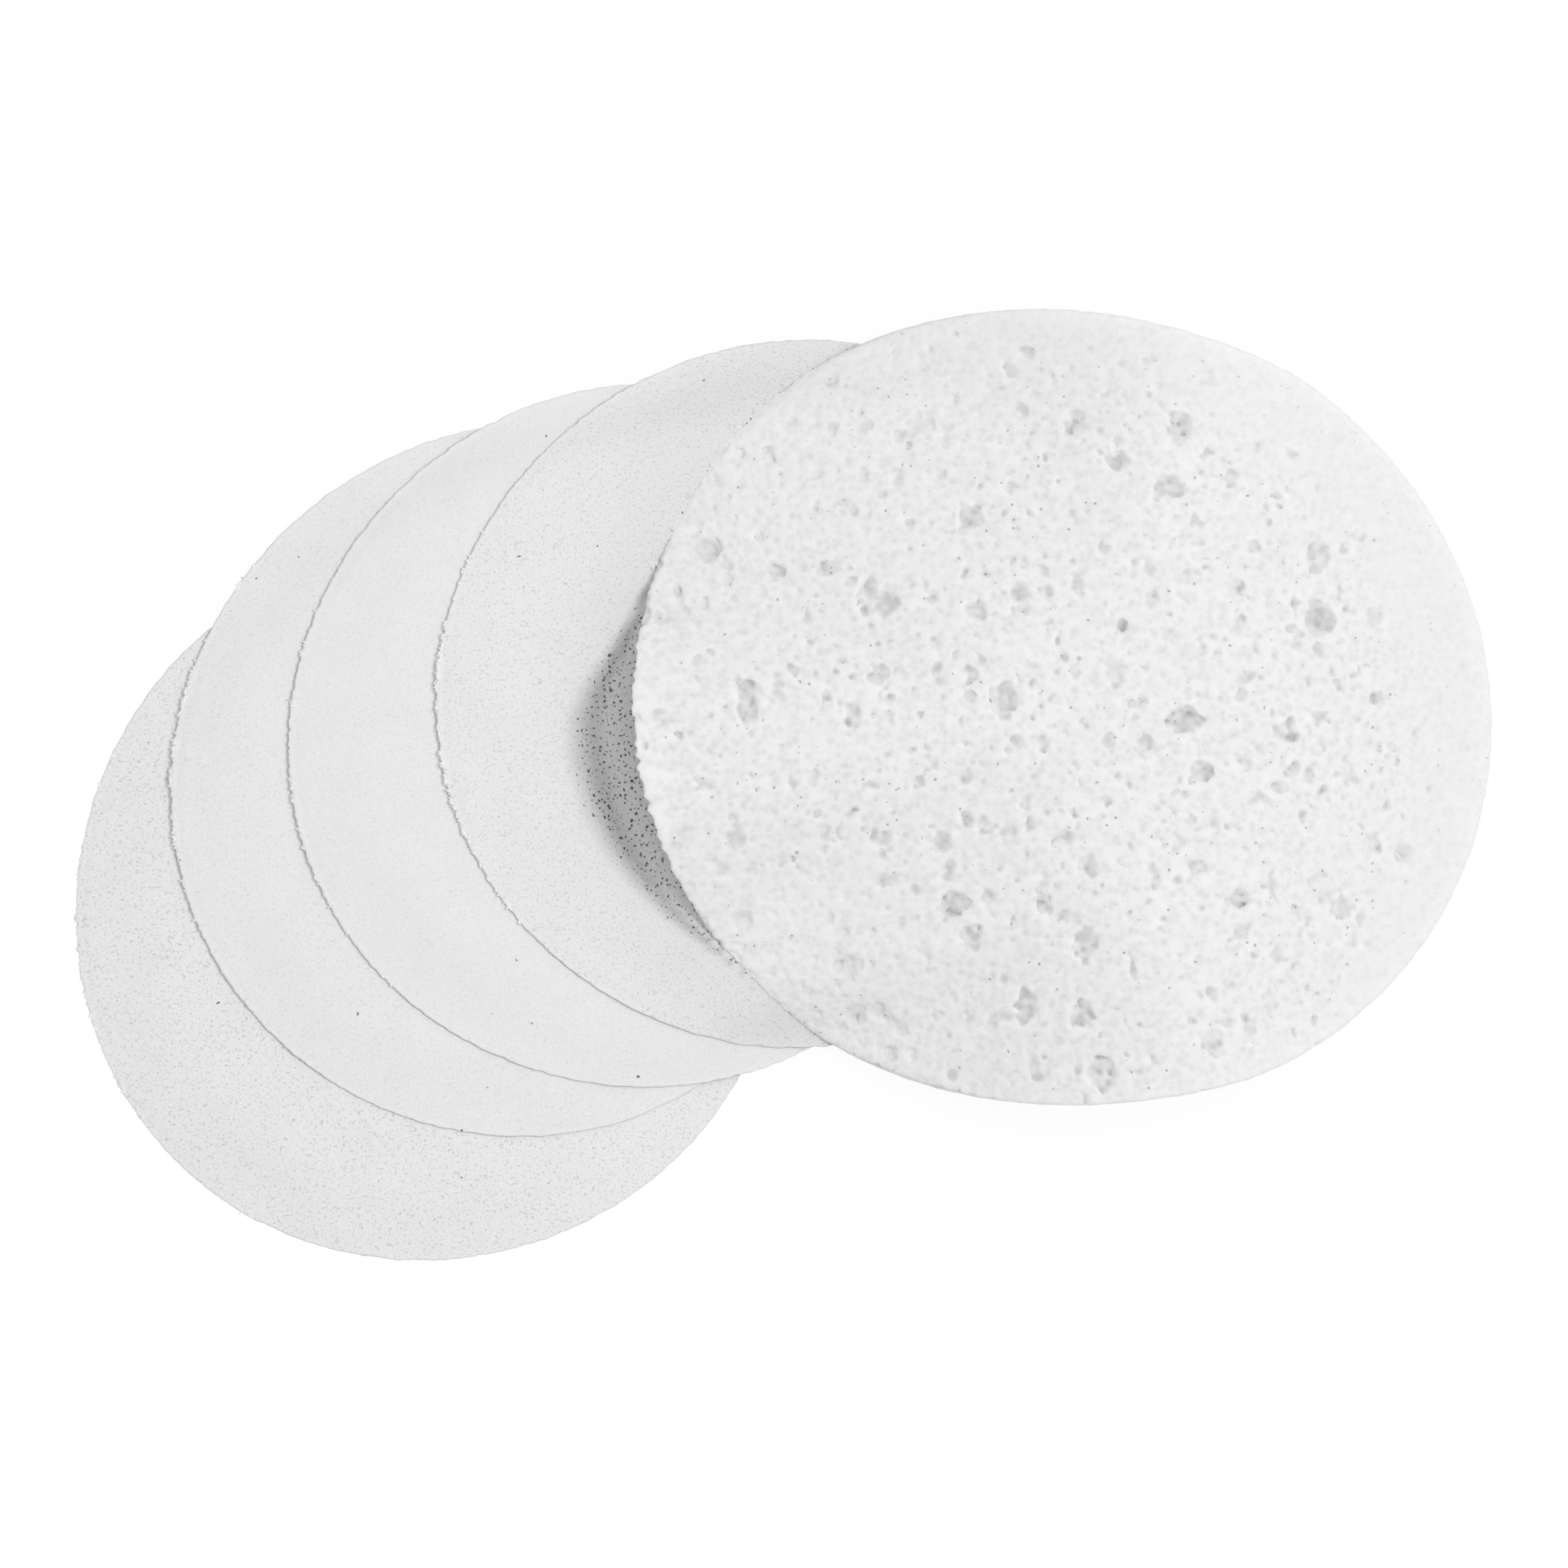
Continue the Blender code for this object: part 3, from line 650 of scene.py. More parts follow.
def openCellTree():
    # Foam as a volume: the slice, less its cells, meshed on an even grid
    tree, takes, gives = newTree("open cells", [
        ("Geometry", "Geometry"), ("Seed object", "Object"), ("Grid low", "Vector"), ("Grid high", "Vector"),
        ("Grid steps", "Vector"), ("Wobble", "Float"), ("Wobble scale", "Float"), ("Unevenness", "Float"),
        ("Uneven scale", "Float"), ("Least crumb", "Int"), ("Material", "Material"), *marginSockets,
        *[(f"{layer} {size}", "Float") for layer in cellLayers for size in layerSizes], *sliceSockets,
    ], [("Geometry", "Geometry")])
    seeds = addNode(tree, "GeometryNodeObjectInfo", {"Object": takes["Seed object"]}).outputs["Geometry"]
    sliceDepth = sliceDepthTree()
    bodyDepth = bodyDepthTree(sliceDepth)
    layerTree = cellLayerTree(bodyDepth)

    place = addNode(tree, "GeometryNodeInputPosition")
    wobbly, uneven = [
        addNode(tree, "ShaderNodeTexNoise", {"Vector": place, "Scale": takes[scale], "Detail": detail})
        for scale, detail in (("Wobble scale", 1), ("Uneven scale", 2))]
    middle = (noiseMiddle,) * 3
    centred = addNode(tree, "ShaderNodeVectorMath", wobbly.outputs["Color"], middle, operation="SUBTRACT")
    stray = addNode(tree, "ShaderNodeVectorMath", {0: centred, "Scale": takes["Wobble"]}, operation="SCALE")
    wobbled = addNode(tree, "ShaderNodeVectorMath", place, stray, operation="ADD")
    sizes = pick(takes, sliceSizes)
    inBody = {"Seeds": seeds, "Place": wobbled, **sizes}
    body = addNode(tree, "GeometryNodeGroup", inBody, node_tree=bodyDepth)
    flatBody = addNode(tree, "GeometryNodeGroup", {"Place": place, **sizes}, node_tree=sliceDepth)
    fall = addNode(tree, "ShaderNodeMath", uneven, takes["Unevenness"], flatBody, operation="MULTIPLY_ADD")
    depth = addNode(tree, "ShaderNodeMath", body, fall, operation="MINIMUM")
    for number, layer in enumerate(cellLayers):
        cell = addNode(tree, "GeometryNodeGroup", {
            **inBody, **pick(takes, closeMargin), "Shift": [number * part for part in layerShift],
            **{size: takes[f"{layer} {size}"] for size in layerSizes}}, node_tree=layerTree)
        depth = addNode(tree, "ShaderNodeMath", depth, cell, operation="MINIMUM")

    steps = addNode(tree, "ShaderNodeSeparateXYZ", takes["Grid steps"])
    volume = addNode(tree, "GeometryNodeVolumeCube", {
        "Density": depth, "Background": -1.0, "Min": takes["Grid low"], "Max": takes["Grid high"],
        **{f"Resolution {axis}": steps.outputs[axis] for axis in "XYZ"}})
    foam = addNode(tree, "GeometryNodeVolumeToMesh", {"Volume": volume, "Threshold": 0.0, "Adaptivity": 0.0},
                   resolution_mode="GRID")
    island = addNode(tree, "GeometryNodeInputMeshIsland")
    counted = addNode(tree, "GeometryNodeAccumulateField", {"Value": 1, "Group ID": island}, data_type="INT")
    crumb = addNode(tree, "FunctionNodeCompare", {2: counted.outputs["Total"], 3: takes["Least crumb"]},
                    data_type="INT", operation="LESS_THAN")
    clean = addNode(tree, "GeometryNodeDeleteGeometry", {"Geometry": foam, "Selection": crumb})
    noted = addNode(tree, "GeometryNodeStoreNamedAttribute", {"Geometry": clean, "Name": "cellDepth",
                                                             "Value": flatBody}, data_type="FLOAT")
    return finishTree(tree, gives, noted, takes["Material"])


def seedObject():
    # One point for each large cell, with its half sizes in mm
    centres = []
    halves = []
    for x, y, width, height, depthTenths in largeCells:
        half = np.array((width, height, 0)) * pixelSize / 2
        half[2] = min(half[0], half[1]) * depthTenths / 10 * swollen["cellDepthShare"]
        centres.append(tuple(flatPlaceOf((x, y))))
        halves.append(half)
    mesh = bpy.data.meshes.new("large_cell_seeds")
    mesh.from_pydata(centres, [], [])
    sizes = mesh.attributes.new("halfSizes", "FLOAT_VECTOR", "POINT")
    sizes.data.foreach_set("vector", np.array(halves, dtype=np.float32).ravel())
    return addObject("large_cell_seeds", mesh)


def foamValues(seeds, material):
    shape = swollenShape
    margin = swollen["margin"]
    reach = shape["meanRadius"] * (1 + shape["ovalShare"] + shape["lobeShare"]) + margin
    low = (-reach, -reach, -margin)
    high = (reach, reach, swollen["thickness"] + margin)
    return {
        "Seed object": seeds, "Grid low": low, "Grid high": high,
        "Grid steps": [(top - bottom) / swollen["voxel"] for bottom, top in zip(low, high)],
        "Wobble": swollen["wobble"] / noiseSpread, "Wobble scale": 1 / swollen["wobbleSize"],
        "Unevenness": -swollen["unevenness"] / noiseMiddle, "Uneven scale": 1 / swollen["unevenSize"],
        "Least crumb": swollen["leastCrumb"], "Material": material, **closeMargin,
        **{f"{layer} {size}": value for layer, sizes in cellLayers.items() for size, value in sizes.items()},
        "Mean radius": shape["meanRadius"], "Oval share": shape["ovalShare"], "Oval turn": shape["ovalTurn"],
        "Lobe share": shape["lobeShare"], "Lobe turn": shape["lobeTurn"],
        "Thickness": swollen["thickness"], "Edge radius": swollen["edgeRadius"],
    }


def makeSwollenSponge(material):
    seeds = seedObject()
    sponge = grow("swollen_foam", bpy.data.meshes.new("swollen_foam"), openCellTree(),
                  foamValues(seeds, material))
    bpy.data.objects.remove(seeds)
    points = readPoints(sponge.data)
    fromMiddle = np.linalg.norm(points - closeMargin["Open middle"], axis=1)
    closing = closeMargin["Close reach"] - closeMargin["Open reach"]
    noteValues(sponge.data, "closed", ease((fromMiddle - closeMargin["Open reach"]) / closing))
    noteValues(sponge.data, "thickness", swollen["thickness"] - thinning(points))
    writePoints(sponge.data, settle(points) * mm)
    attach(sponge, "swollen")
    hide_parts("swollen_sponge")
    return sponge


# Pressed sponges: rings from the middle of the upper face, over the cut edge, to the middle of the underside

def ringPlan():
    # The rings of one face: the share of the way from the centre to the band, the inset from the rim (mm)
    # and the count of points
    radius = pressed["diameter"] / 2 - pressed["band"]
    faceCount = round(radius / pressed["faceStep"])
    least = pressed["narrowest"] * pressed["faceStep"]
    rings = []
    for step in range(1, faceCount + 1):
        share = step / faceCount
        count = pressed["rimSteps"]
        while count > pressed["fewestSteps"] and math.tau * radius * share / count < least:
            count //= 2
        rings.append({"share": share, "inset": pressed["band"], "count": count})
    for insets, count in ((pressed["bandInsets"], pressed["rimSteps"] // 2),
                          (pressed["fineInsets"], pressed["rimSteps"])):
        rings += [{"share": 1, "inset": inset, "count": count} for inset in insets]
    return rings


def stitch(first, firstCount, second, secondCount):
    # Faces between two rings, of like count or of half or double
    if firstCount > secondCount:
        return [face[::-1] for face in stitch(second, secondCount, first, firstCount)]
    faces = []
    times = secondCount // firstCount
    for step in range(firstCount):
        here, following = first + step, first + (step + 1) % firstCount
        across = [second + (times * step + more) % secondCount for more in range(times + 1)]
        if times == 2:
            faces.append((here, *across[:2]))
        faces.append((here, *across[-2:], following))
    return faces


def pressedMesh(name, shape):
    # The flat sheet, and each point's inset from its rim
    thickness = pressed["thickness"]
    upper = ringPlan()
    corner = [{"turn": math.radians(turn), "count": pressed["rimSteps"]} for turn in pressed["cornerTurns"]]
    wall = {"turn": math.pi / 2, "count": pressed["rimSteps"]}
    rings = upper + corner + [wall] + corner[::-1] + upper[::-1]
    firstLower = len(upper) + len(corner) + 1
    places = [np.array(((0, 0, thickness),))]
    insets = [np.array((pressed["diameter"] / 2,))]
    starts = []
    filled = 1
    for index, ring in enumerate(rings):
        starts.append(filled)
        filled += ring["count"]
        angles = math.tau * np.arange(ring["count"]) / ring["count"]
        rim = outlineRadius(shape, angles)
        sharp = near(angles, pressed["sharpTurn"], pressed["sharpSpread"])
        radius = pressed["edgeRadius"] + (pressed["sharpRadius"] - pressed["edgeRadius"]) * sharp
        if index >= firstLower:
            radius = np.full(len(angles), pressed["footRadius"])
        if "turn" in ring:
            reach = rim - radius * (1 - math.sin(ring["turn"]))
            drop = radius * (1 - math.cos(ring["turn"]))
        else:
            reach = (rim - np.maximum(ring["inset"], radius)) * ring["share"]
            drop = np.zeros(len(angles))
        crush = crushed(rim - reach, sharp)
        if ring is wall:
            drop[:] = (thickness - crush) / 2
        height = drop if index >= firstLower else thickness - crush - drop
        places.append(np.column_stack((reach * np.cos(angles), reach * np.sin(angles), height)))
        insets.append(rim - reach)
    places.append(np.zeros((1, 3)))
    insets.append(insets[0])
    count = rings[0]["count"]
    faces = [(0, starts[0] + step, starts[0] + (step + 1) % count) for step in range(count)]
    for index in range(len(rings) - 1):
        faces += stitch(starts[index], rings[index]["count"], starts[index + 1], rings[index + 1]["count"])
    faces += [(filled, starts[-1] + (step + 1) % count, starts[-1] + step) for step in range(count)]
    mesh = bpy.data.meshes.new(name)
    mesh.from_pydata(np.concatenate(places).tolist(), [], faces)
    return mesh, np.concatenate(insets).astype(np.float32)


def wearPressed(mesh, insets, number):
    # Bends the flat sheet a little, crowns its faces into the gap to the next one and roughens its rim
    draws = np.random.default_rng(pressed["seed"] + number)
    points = readPoints(mesh)
    angles, _ = polar(points)
    sharp = near(angles, pressed["sharpTurn"], pressed["sharpSpread"])
    upper = points[:, 2] / (pressed["thickness"] - crushed(insets, sharp)) > 0.5
    begin, end = pressed["swellReach"]
    inner = ease((insets - begin) / (end - begin))
    bent = ripples(draws, points, pressed["waveLengths"], pressed["waveCount"])
    swell = np.clip(pressed["swell"] + pressed["wave"] * bent, pressed["leastGap"],
                    pressed["seatGap"] / 2 - pressed["leastGap"])
    start, crest, finish = pressed["lipPlace"]
    lip = np.minimum(ease((insets - start) / (crest - start)), ease((finish - insets) / (finish - crest)))
    jagged, beaded = [rimRipples(draws, angles, pressed["diameter"] / 2, pressed[lengths], pressed[count])
                      for lengths, count in (("raggedLengths", "raggedCount"), ("beadLengths", "beadCount"))]
    lip *= pressed["lip"] * sharp * np.clip(pressed["lipMiddle"] + pressed["lipJag"] * jagged,
                                            *pressed["lipRange"])
    under = np.zeros(len(points))
    if number > 1:
        under = swell * (inner + (1 - inner) * (1 - sharp))
    points[:, 2] += np.where(upper, swell * inner + lip, -under)
    stray = pressed["ragged"] * jagged * ease(1 - insets / pressed["raggedReach"])
    stray += pressed["beads"] * beaded * sharp * ease(1 - insets / pressed["beadReach"])
    moveOut(points, angles, stray)
    writePoints(mesh, points)
    turn, spread, count = (burrs[key][number - 1] for key in ("turns", "spreads", "counts"))
    tufts = np.clip(burrs["tuftMiddle"] + jagged, 0, burrs["tuftMost"])
    rough = near(angles, turn, spread) * tufts * (insets < burrs["reach"]) * upper
    noteValues(mesh, "burr", count * rough)


def burrTree():
    # The sheet, with loose fibres scattered along the corner that the die cut
    tree, takes, gives = newTree("burr fibres", [
        ("Geometry", "Geometry"), ("Least size", "Vector"), ("Most size", "Vector"), ("Tilts", "Vector"),
        ("Seed", "Int"), ("Material", "Material"),
    ], [("Geometry", "Geometry")])
    share = addNode(tree, "GeometryNodeInputNamedAttribute", "burr", data_type="FLOAT")
    spots = addNode(tree, "GeometryNodeDistributePointsOnFaces", {
        "Mesh": takes["Geometry"], "Density": share, "Seed": takes["Seed"]}, distribute_method="RANDOM")
    # A ball 1 across, so that its scale is the fibre's size
    ball = addNode(tree, "GeometryNodeMeshIcoSphere", {"Radius": 0.5, "Subdivisions": 1})
    fibre = addNode(tree, "GeometryNodeStoreNamedAttribute", {
        "Geometry": ball, "Name": "fibre", "Value": 1.0}, data_type="FLOAT")
    size = addNode(tree, "FunctionNodeRandomValue", {
        0: takes["Least size"], 1: takes["Most size"], "Seed": takes["Seed"]}, data_type="FLOAT_VECTOR")
    back = addNode(tree, "ShaderNodeVectorMath", takes["Tilts"], (-1, -1, 0), operation="MULTIPLY")
    turn = addNode(tree, "FunctionNodeRandomValue", {0: back, 1: takes["Tilts"], "Seed": takes["Seed"]},
                   data_type="FLOAT_VECTOR")
    scattered = addNode(tree, "GeometryNodeInstanceOnPoints", {"Points": spots, "Instance": fibre,
                                                               "Rotation": turn, "Scale": size})
    together = addNode(tree, "GeometryNodeJoinGeometry")
    for part in (takes["Geometry"], scattered):
        fillInputs(tree, together, {"Geometry": part})
    return finishTree(tree, gives, together, takes["Material"])


# Painted shadow on the top sheet: a dark crescent beside the swollen sponge's free tip, and painted shade
# along its rim
paintedShadow = {
    # Degrees from the sponge's middle, and mm past its rim there
    "turns": (162, 168, 173, 177, 181, 186, 192, 196, 200, 204, 208, 212, 216, 222),
    "reaches": (0.0, 1.4, 3.1, 5.1, 6.6, 6.9, 6.5, 5.9, 5.1, 4.1, 3.1, 1.9, 0.9, 0.0),
    "fadeShare": 0.50,
    "edge": 1.0,
    "shadowShares": (0.32, 0.74),  # of the reach, where the painted shadow begins to darken the sheet, and is darkest
    "leastReach": 0.1,  # mm, which keeps that share finite
    "rimShade": 0.17,  # painted shade all along the sponge's rim: how far it darkens the sheet there
    "rimShadeReach": 14.0,  # mm
}


def notePaintedShadow(mesh, points):
    # Painted shadow on the sheet that carries the swollen sponge: where its dense dark pits lie, and how far
    # its tone is darkened as painted shadow, most beside the free tip, with painted shade all along the rim
    angles, reaches = polar(points[:, :2] - swollenPlace[:2])
    past = reaches - outlineRadius(swollenShape, angles)
    reach = np.interp(np.degrees(angles) % 360, paintedShadow["turns"], paintedShadow["reaches"])
    fade = paintedShadow["fadeShare"] * reach + paintedShadow["edge"]
    shadowExtent = 1 - ease((past - reach) / fade + 0.5)
    begin, end = paintedShadow["shadowShares"]
    shadowStrength = shadowExtent * ease((past / np.maximum(reach, paintedShadow["leastReach"]) - begin) / (end - begin))
    noteValues(mesh, "paintedShadow", shadowExtent)
    noteValues(mesh, "paintedShade", np.maximum(shadowStrength, paintedShadow["rimShade"] * (1 - ease(past / paintedShadow["rimShadeReach"]))))


def makePressedSponges(material):
    tree = burrTree()
    most = (burrs["length"], burrs["thickness"], burrs["thickness"])
    lengthShare, thicknessShare = burrs["leastShares"]
    least = (lengthShare * most[0], thicknessShare * most[1], thicknessShare * most[2])
    for number, (shape, place) in enumerate(zip(pressedShapes, pressedPlaces), start=1):
        mesh, insets = pressedMesh(f"pressed_sheet_{number}", shape)
        wearPressed(mesh, insets, number)
        sheet = grow(f"pressed_sheet_{number}", mesh, tree, {
            "Least size": least, "Most size": most, "Tilts": (*burrs["tilts"], math.tau),
            "Seed": burrs["seed"] + number, "Material": material})
        points = readPoints(sheet.data) + place
        if number > 1:
            insets, _ = rimOf(points, number)
            points[:, 2] -= (1 - ease(insets / pressed["crushReach"])) * fallOn(points, number - 1)
        # Each sheet's speck share; the first sheet's fuller specks also paint it darker, as shade far from
        # the light
        noteValues(sheet.data, "speckAndShade", np.full(len(points), sheetFinish["speckAndShadeShares"][number - 1]))
        # The top sheet carries a painted shadow beside the swollen sponge, and painted shade along its rim
        if number == len(pressedShapes):
            notePaintedShadow(sheet.data, points)
        writePoints(sheet.data, points * mm)
        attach(sheet, f"pressed_{number}")
        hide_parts(f"pressed_sponge_{number}")


# Materials

def startMatt(name, finish, attributes):
    # A new material with the place on the object, the same place strayed a little so that round marks come
    # out uneven, and the values that the mesh holds
    material = bpy.data.materials.new(name)
    material.use_nodes = True
    tree = material.node_tree
    place = addNode(tree, "ShaderNodeTexCoord").outputs["Object"]
    noise = addNode(tree, "ShaderNodeTexNoise", {"Vector": place, "Scale": 1 / (finish["strayLength"] * mm),
                                                 "Detail": 1.0})
    stray = (finish["stray"] * mm,) * 3
    strayed = addNode(tree, "ShaderNodeVectorMath", noise.outputs["Color"], stray, place,
                      operation="MULTIPLY_ADD")
    held = {attribute: addNode(tree, "ShaderNodeAttribute", attribute_name=attribute).outputs["Fac"]
            for attribute in attributes}
    return material, tree, place, strayed, held


def finishMatt(tree, finish, place, colour, marks, marksDepth, **more):
    # The relief is the marks' and a fine grain, in millimetres
    grain = addNode(tree, "ShaderNodeTexNoise", {"Vector": place, "Scale": 1 / (finish["grainSize"] * mm),
                                                 "Detail": finish["grainDetail"]})
    fine = addNode(tree, "ShaderNodeMath", grain, finish["grainDepth"], operation="MULTIPLY")
    relief = addNode(tree, "ShaderNodeMath", marks, marksDepth, fine, operation="MULTIPLY_ADD")
    bump = addNode(tree, "ShaderNodeBump", {"Strength": 1.0, "Distance": mm, "Height": relief})
    fillInputs(tree, tree.nodes["Principled BSDF"], {
        "Base Color": colour, "Normal": bump, "Roughness": finish["roughness"], "IOR": finish["refraction"],
        "Specular IOR Level": finish["specular"], **more})


def cover(tree, colour, *layers):
    # Each layer puts a share of its own colour over those before
    for share, over in layers:
        colour = addNode(tree, "ShaderNodeMix", {0: share, 6: colour, 7: hexColour(over)}, data_type="RGBA")
    return colour


def clouds(tree, place, size, amount, detail=2.0):
    # A tone that strays from 1 by about the amount, in patches of the size in mm
    scale = 1 / (size * mm)
    noise = addNode(tree, "ShaderNodeTexNoise", {"Vector": place, "Scale": scale, "Detail": detail})
    return addNode(tree, "ShaderNodeMapRange", {
        "Value": noise, "From Min": noiseMiddle - noiseSpread, "From Max": noiseMiddle + noiseSpread,
        "To Min": 1 - amount, "To Max": 1 + amount})


def dots(tree, place, finish, share, dimensions):
    # 1 inside scattered round marks of random size, 0 between them
    spacing = finish["holeSpacing"]
    least, most = (radius / spacing for radius in finish["holeRadii"])
    cells = addNode(tree, "ShaderNodeTexVoronoi", {"Vector": place, "Scale": 1 / (spacing * mm)},
                    voronoi_dimensions=dimensions)
    draws = addNode(tree, "ShaderNodeSeparateColor", cells.outputs["Color"])
    spread = addNode(tree, "ShaderNodeMath", draws.outputs["Red"], 2.0, operation="POWER")
    radius = addNode(tree, "ShaderNodeMapRange", {"Value": spread, "To Min": least, "To Max": most})
    inner = addNode(tree, "ShaderNodeMath", radius, finish["holeFlat"], operation="MULTIPLY")
    hole = addNode(tree, "ShaderNodeMapRange", {
        "Value": cells, "From Min": inner, "From Max": radius, "To Min": 1.0, "To Max": 0.0,
    }, interpolation_type="SMOOTHSTEP")
    there = addNode(tree, "ShaderNodeMath", draws.outputs["Green"], share, operation="LESS_THAN")
    return addNode(tree, "ShaderNodeMath", hole, there, operation="MULTIPLY")


foamFinish = {
    "wall": "#EFEFEF",
    "cellFootShade": "#DCDCDC",  # painted shade: the tone that little light leaves at the foot of a cell
    "deepFrom": 0.15,  # mm below the cut face
    "deepTo": 1.4,
    "holeColour": "#B8B8B8",
    "holeSpacing": 0.95,  # mm
    "holeRadii": (0.05, 0.22),
    "holeFlat": 0.45,  # of its radius, which is as dark as its middle
    "holeShare": 0.60,
    "strayLength": 0.45,  # mm between the bends of what should be round
    "stray": 0.38,
    "mottleSize": 1.2,  # mm across the cloudy patches of thicker and thinner wall
    "mottle": 0.040,  # share of the tone that they change
    "closedAndLitTone": 0.45,  # how much of all this the closed margin hides; partly painted light on its right and upper side
    "softThicknesses": (2.5, 6.0),  # mm of foam from which light soaks in, and soaks in fully
    "softRadius": 1.6,  # mm that it spreads
    "webSize": 0.90,  # mm across the finest cells, which are dimples here
    "webRange": (0.15, 0.6),  # of that size, from a dimple's middle to its wall
    # The next tone is painted shade: each dimple darker towards its middle
    "dimpleShade": 0.075,
    "webDepth": 0.09,
    "grainSize": 0.30,
    "grainDepth": 0.02,
    "grainDetail": 2.0,
    "roughness": 0.85,
    "refraction": 1.47,
    "specular": 0.2,
}

sheetFinish = {
    "face": "#EDEDED",
    "fibreColour": "#FBFBFB",  # single fibres let the light through, so they look whiter
    "paintedShadowTone": 0.52,  # share of its tone that the sheet keeps under the painted shadow
    "shadowPitRange": (0.3, 0.9),  # how far into the painted shadow the first dark pits open, and where most are open
    "shadowPitShare": 0.9,
    "dryHoleShare": 0.002,
    "holeColour": "#6A6A6A",
    "holeSpacing": 0.56,  # mm
    "holeRadii": (0.07, 0.19),
    "holeFlat": 0.45,
    "holeDepth": 0.05,
    "strayLength": 0.40,
    "stray": 0.50,
    "speckColour": "#C4C4C4",
    "speckSize": 0.26,  # mm between the sheet's darker specks
    "speckRange": (0.55, 0.80),  # of the noise, from no speck to a full one
    "speckAndShadeShares": (1.0, 0.45, 0.35, 0.8),  # for each sheet; on the first sheet they also paint shade, darker where it lies furthest from the light
    "mottleSize": 4.5,
    "mottle": 0.012,
    "fleckSize": 0.30,
    "fleck": 0.030,
    "grainSize": 0.34,  # mm between the pressed walls' fine ridges
    "grainDepth": 0.02,
    "grainDetail": 3.0,
    "roughness": 0.8,
    "refraction": 1.5,
    "specular": 0.2,
}


def swollenCellulose():
    # Regenerated cellulose foam, wetted: matt white walls that light soaks into, so that its cells look
    # soft;
    # the feet of its cells and its dimples carry painted shade
    finish = foamFinish
    material, tree, place, strayed, held = startMatt("swollen regenerated cellulose", finish,
                                                     ("thickness", "cellDepth", "closed"))
    # Painted shade, darker towards the foot of each cell
    cellFootShade = addNode(tree, "ShaderNodeMapRange", {
        "Value": held["cellDepth"], "From Min": finish["deepFrom"], "From Max": finish["deepTo"]})
    holes = dots(tree, strayed, finish, finish["holeShare"], "3D")
    pricked = cover(tree, hexColour(finish["wall"]), (cellFootShade, finish["cellFootShade"]), (holes, finish["holeColour"]))
    web = addNode(tree, "ShaderNodeTexVoronoi", {"Vector": strayed, "Scale": 1 / (finish["webSize"] * mm)})
    middle, wall = finish["webRange"]
    # Painted shade in the dimples, darkest in their middles
    dimpleShade = addNode(tree, "ShaderNodeMapRange", {
        "Value": web, "From Min": middle, "From Max": wall, "To Min": 1 - finish["dimpleShade"], "To Max": 1.0})
    mottle = clouds(tree, place, finish["mottleSize"], finish["mottle"], 3.0)
    tone = addNode(tree, "ShaderNodeMath", mottle, dimpleShade, operation="MULTIPLY")
    toned = addNode(tree, "ShaderNodeVectorMath", pricked, tone, operation="MULTIPLY")
    # The closed margin covers these marks with the wall's tone: fewer open cells there, and partly painted
    # light on the right and upper margins, which face the light
    closedAndLit = addNode(tree, "ShaderNodeMath", held["closed"], finish["closedAndLitTone"], operation="MULTIPLY")
    colour = cover(tree, toned, (closedAndLit, finish["wall"]))
    # The thin rim lies on the sheet, which throws the light back that would leave it below
    least, most = finish["softThicknesses"]
    soft = addNode(tree, "ShaderNodeMapRange", {
        "Value": held["thickness"], "From Min": least, "From Max": most})
    finishMatt(tree, finish, place, colour, web, finish["webDepth"], **{
        "Subsurface Weight": soft, "Subsurface Radius": (finish["softRadius"],) * 3, "Subsurface Scale": mm})
    return material


def pressedCellulose():
    # The same foam dried under pressure: a stiff, card-like sheet with a fine paper grain and pinholes where
    # cells were; the top sheet also carries a painted shadow beside the swollen sponge
    finish = sheetFinish
    material, tree, place, strayed, held = startMatt("pressed regenerated cellulose", finish,
                                                     ("paintedShadow", "paintedShade", "speckAndShade", "fibre"))
    crumbs = addNode(tree, "ShaderNodeTexNoise", {"Vector": place, "Scale": 1 / (finish["speckSize"] * mm),
                                                  "Detail": 1.0})
    none, full = finish["speckRange"]
    specks = addNode(tree, "ShaderNodeMapRange", {
        "Value": crumbs, "From Min": none, "From Max": full, "To Max": held["speckAndShade"]})
    # Dense dark pits where the painted shadow lies
    first, most = finish["shadowPitRange"]
    share = addNode(tree, "ShaderNodeMapRange", {
        "Value": held["paintedShadow"], "From Min": first, "From Max": most,
        "To Min": finish["dryHoleShare"], "To Max": finish["shadowPitShare"]})
    holes = dots(tree, strayed, finish, share, "2D")
    pricked = cover(tree, hexColour(finish["face"]), (specks, finish["speckColour"]),
                    (holes, finish["holeColour"]))
    # Painted shadow: the sheet's tone darkened beside the swollen sponge and along its rim
    tone = addNode(tree, "ShaderNodeMapRange", {
        "Value": held["paintedShade"], "To Min": 1.0, "To Max": finish["paintedShadowTone"]})
    for patch in ("mottle", "fleck"):
        cloud = clouds(tree, place, finish[patch + "Size"], finish[patch])
        tone = addNode(tree, "ShaderNodeMath", tone, cloud, operation="MULTIPLY")
    toned = addNode(tree, "ShaderNodeVectorMath", pricked, tone, operation="MULTIPLY")
    colour = cover(tree, toned, (held["fibre"], finish["fibreColour"]))
    finishMatt(tree, finish, place, colour, holes, -finish["holeDepth"])
    return material


# Studio

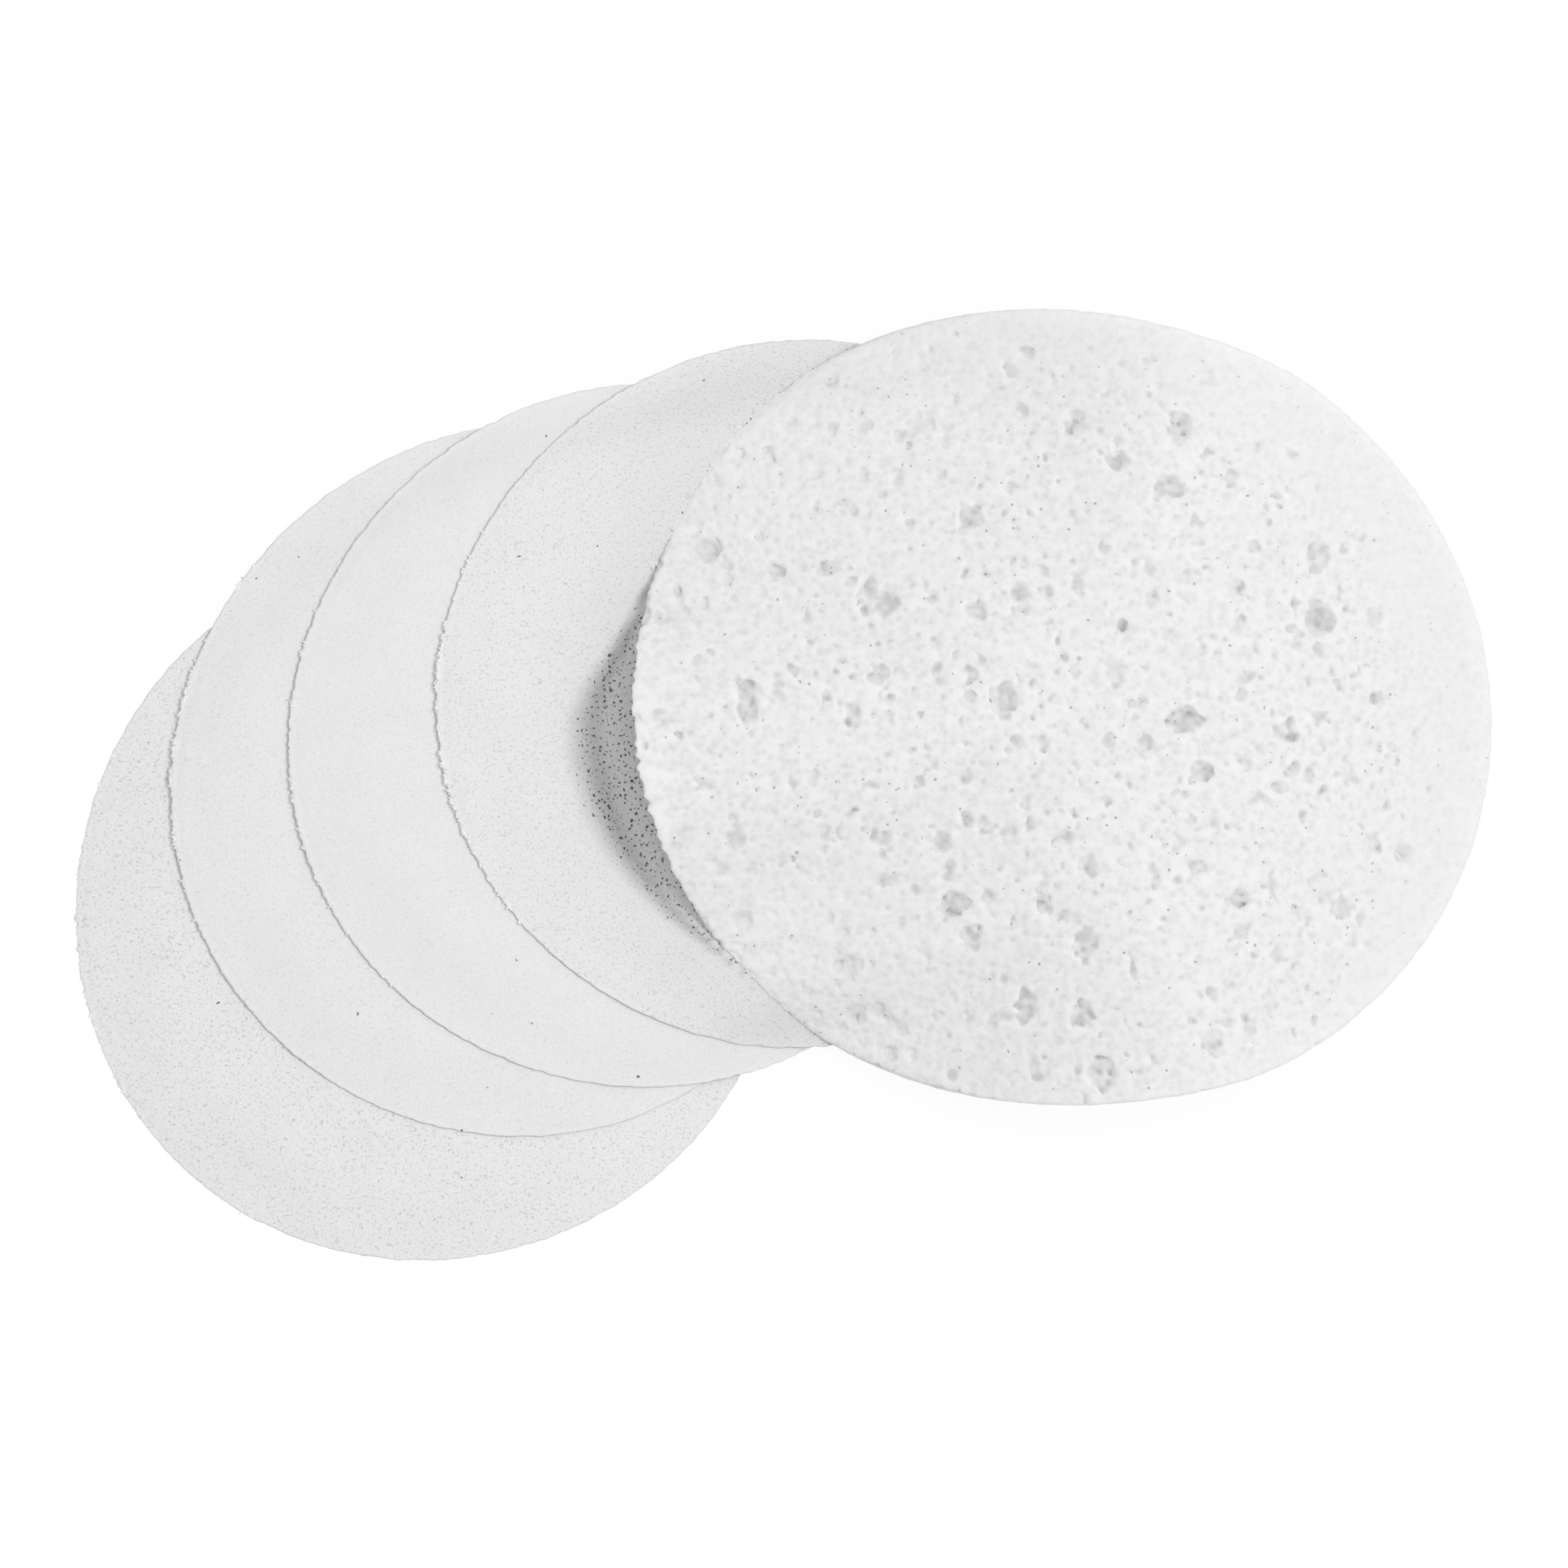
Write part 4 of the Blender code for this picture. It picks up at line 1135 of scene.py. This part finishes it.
studio = {
    "keySide": 24.0,  # degrees from +X towards +Y: the light comes from the right
    "keyHeight": 74.0,  # degrees above the floor
    "keyDistance": 520.0,  # mm
    "keyWidth": 190.0,  # mm, which sets how soft the shadow is
    "keyShare": 0.36,  # of the light on a level surface
    "skyShare": 0.64,
    "floorSide": 3000.0,  # mm
    "floorShadowShare": 0.05,  # how much of the shadow the white floor shows
    "floorBounce": "#F0F0F0",
    "white": "#FFFFFF",
}


def seenDirectly(tree):
    # 1 for what the camera, a mirror or a glass looks at, 0 for what only gives light
    paths = addNode(tree, "ShaderNodeLightPath")
    seen = paths.outputs["Is Camera Ray"]
    for ray in ("Is Glossy Ray", "Is Transmission Ray"):
        seen = addNode(tree, "ShaderNodeMath", seen, paths.outputs[ray], operation="ADD", use_clamp=True)
    return seen


def makeFloor():
    half = studio["floorSide"] * mm / 2
    white = hexColour(studio["white"])
    mesh = bpy.data.meshes.new("floor")
    mesh.from_pydata([(-half, -half, 0), (half, -half, 0), (half, half, 0), (-half, half, 0)], [],
                     [(0, 1, 2, 3)])
    # White paper: the camera sees it evenly lit, with a share of the real shadow
    material = bpy.data.materials.new("white paper sweep")
    material.use_nodes = True
    tree = material.node_tree
    tree.nodes.clear()
    glow = addNode(tree, "ShaderNodeEmission", {"Color": white, "Strength": 1.0})
    lit = addNode(tree, "ShaderNodeBsdfDiffuse", {"Color": white})
    shown = addNode(tree, "ShaderNodeMixShader", studio["floorShadowShare"], glow, lit)
    bounce = addNode(tree, "ShaderNodeBsdfDiffuse", {"Color": hexColour(studio["floorBounce"])})
    both = addNode(tree, "ShaderNodeMixShader", seenDirectly(tree), bounce, shown)
    addNode(tree, "ShaderNodeOutputMaterial", {"Surface": both})
    mesh.materials.append(material)
    addObject("floor", mesh)


def makeLights():
    side = math.radians(studio["keySide"])
    height = math.radians(studio["keyHeight"])
    away = Vector((math.cos(side) * math.cos(height), math.sin(side) * math.cos(height), math.sin(height)))
    distance = studio["keyDistance"] * mm
    data = bpy.data.lights.new("key", "AREA")
    data.shape = "DISK"
    data.size = studio["keyWidth"] * mm
    # The power at which a level white surface gets the key's share of the light
    data.energy = studio["keyShare"] * math.pi ** 2 * distance ** 2 / math.sin(height)
    key = addObject("key", data)
    key.location = away * distance + Vector(photoView["target"]) * mm
    key.rotation_mode = "QUATERNION"
    key.rotation_quaternion = away.to_track_quat("Z", "Y")

    white = hexColour(studio["white"])
    world = bpy.data.worlds.new("studio")
    bpy.context.scene.world = world
    world.use_nodes = True
    tree = world.node_tree
    tree.nodes.clear()
    sky = addNode(tree, "ShaderNodeBackground", {"Color": white, "Strength": studio["skyShare"]})
    backdrop = addNode(tree, "ShaderNodeBackground", {"Color": white, "Strength": 1.0})
    both = addNode(tree, "ShaderNodeMixShader", seenDirectly(tree), sky, backdrop)
    addNode(tree, "ShaderNodeOutputWorld", {"Surface": both})


makeFloor()
makeLights()
bpy.context.scene.view_settings.view_transform = "Standard"
print("studio lit")

makePressedSponges(pressedCellulose())
print("pressed sponges made")

foamPiece = makeSwollenSponge(swollenCellulose())
print("swollen sponge made:", len(foamPiece.data.vertices), "points")
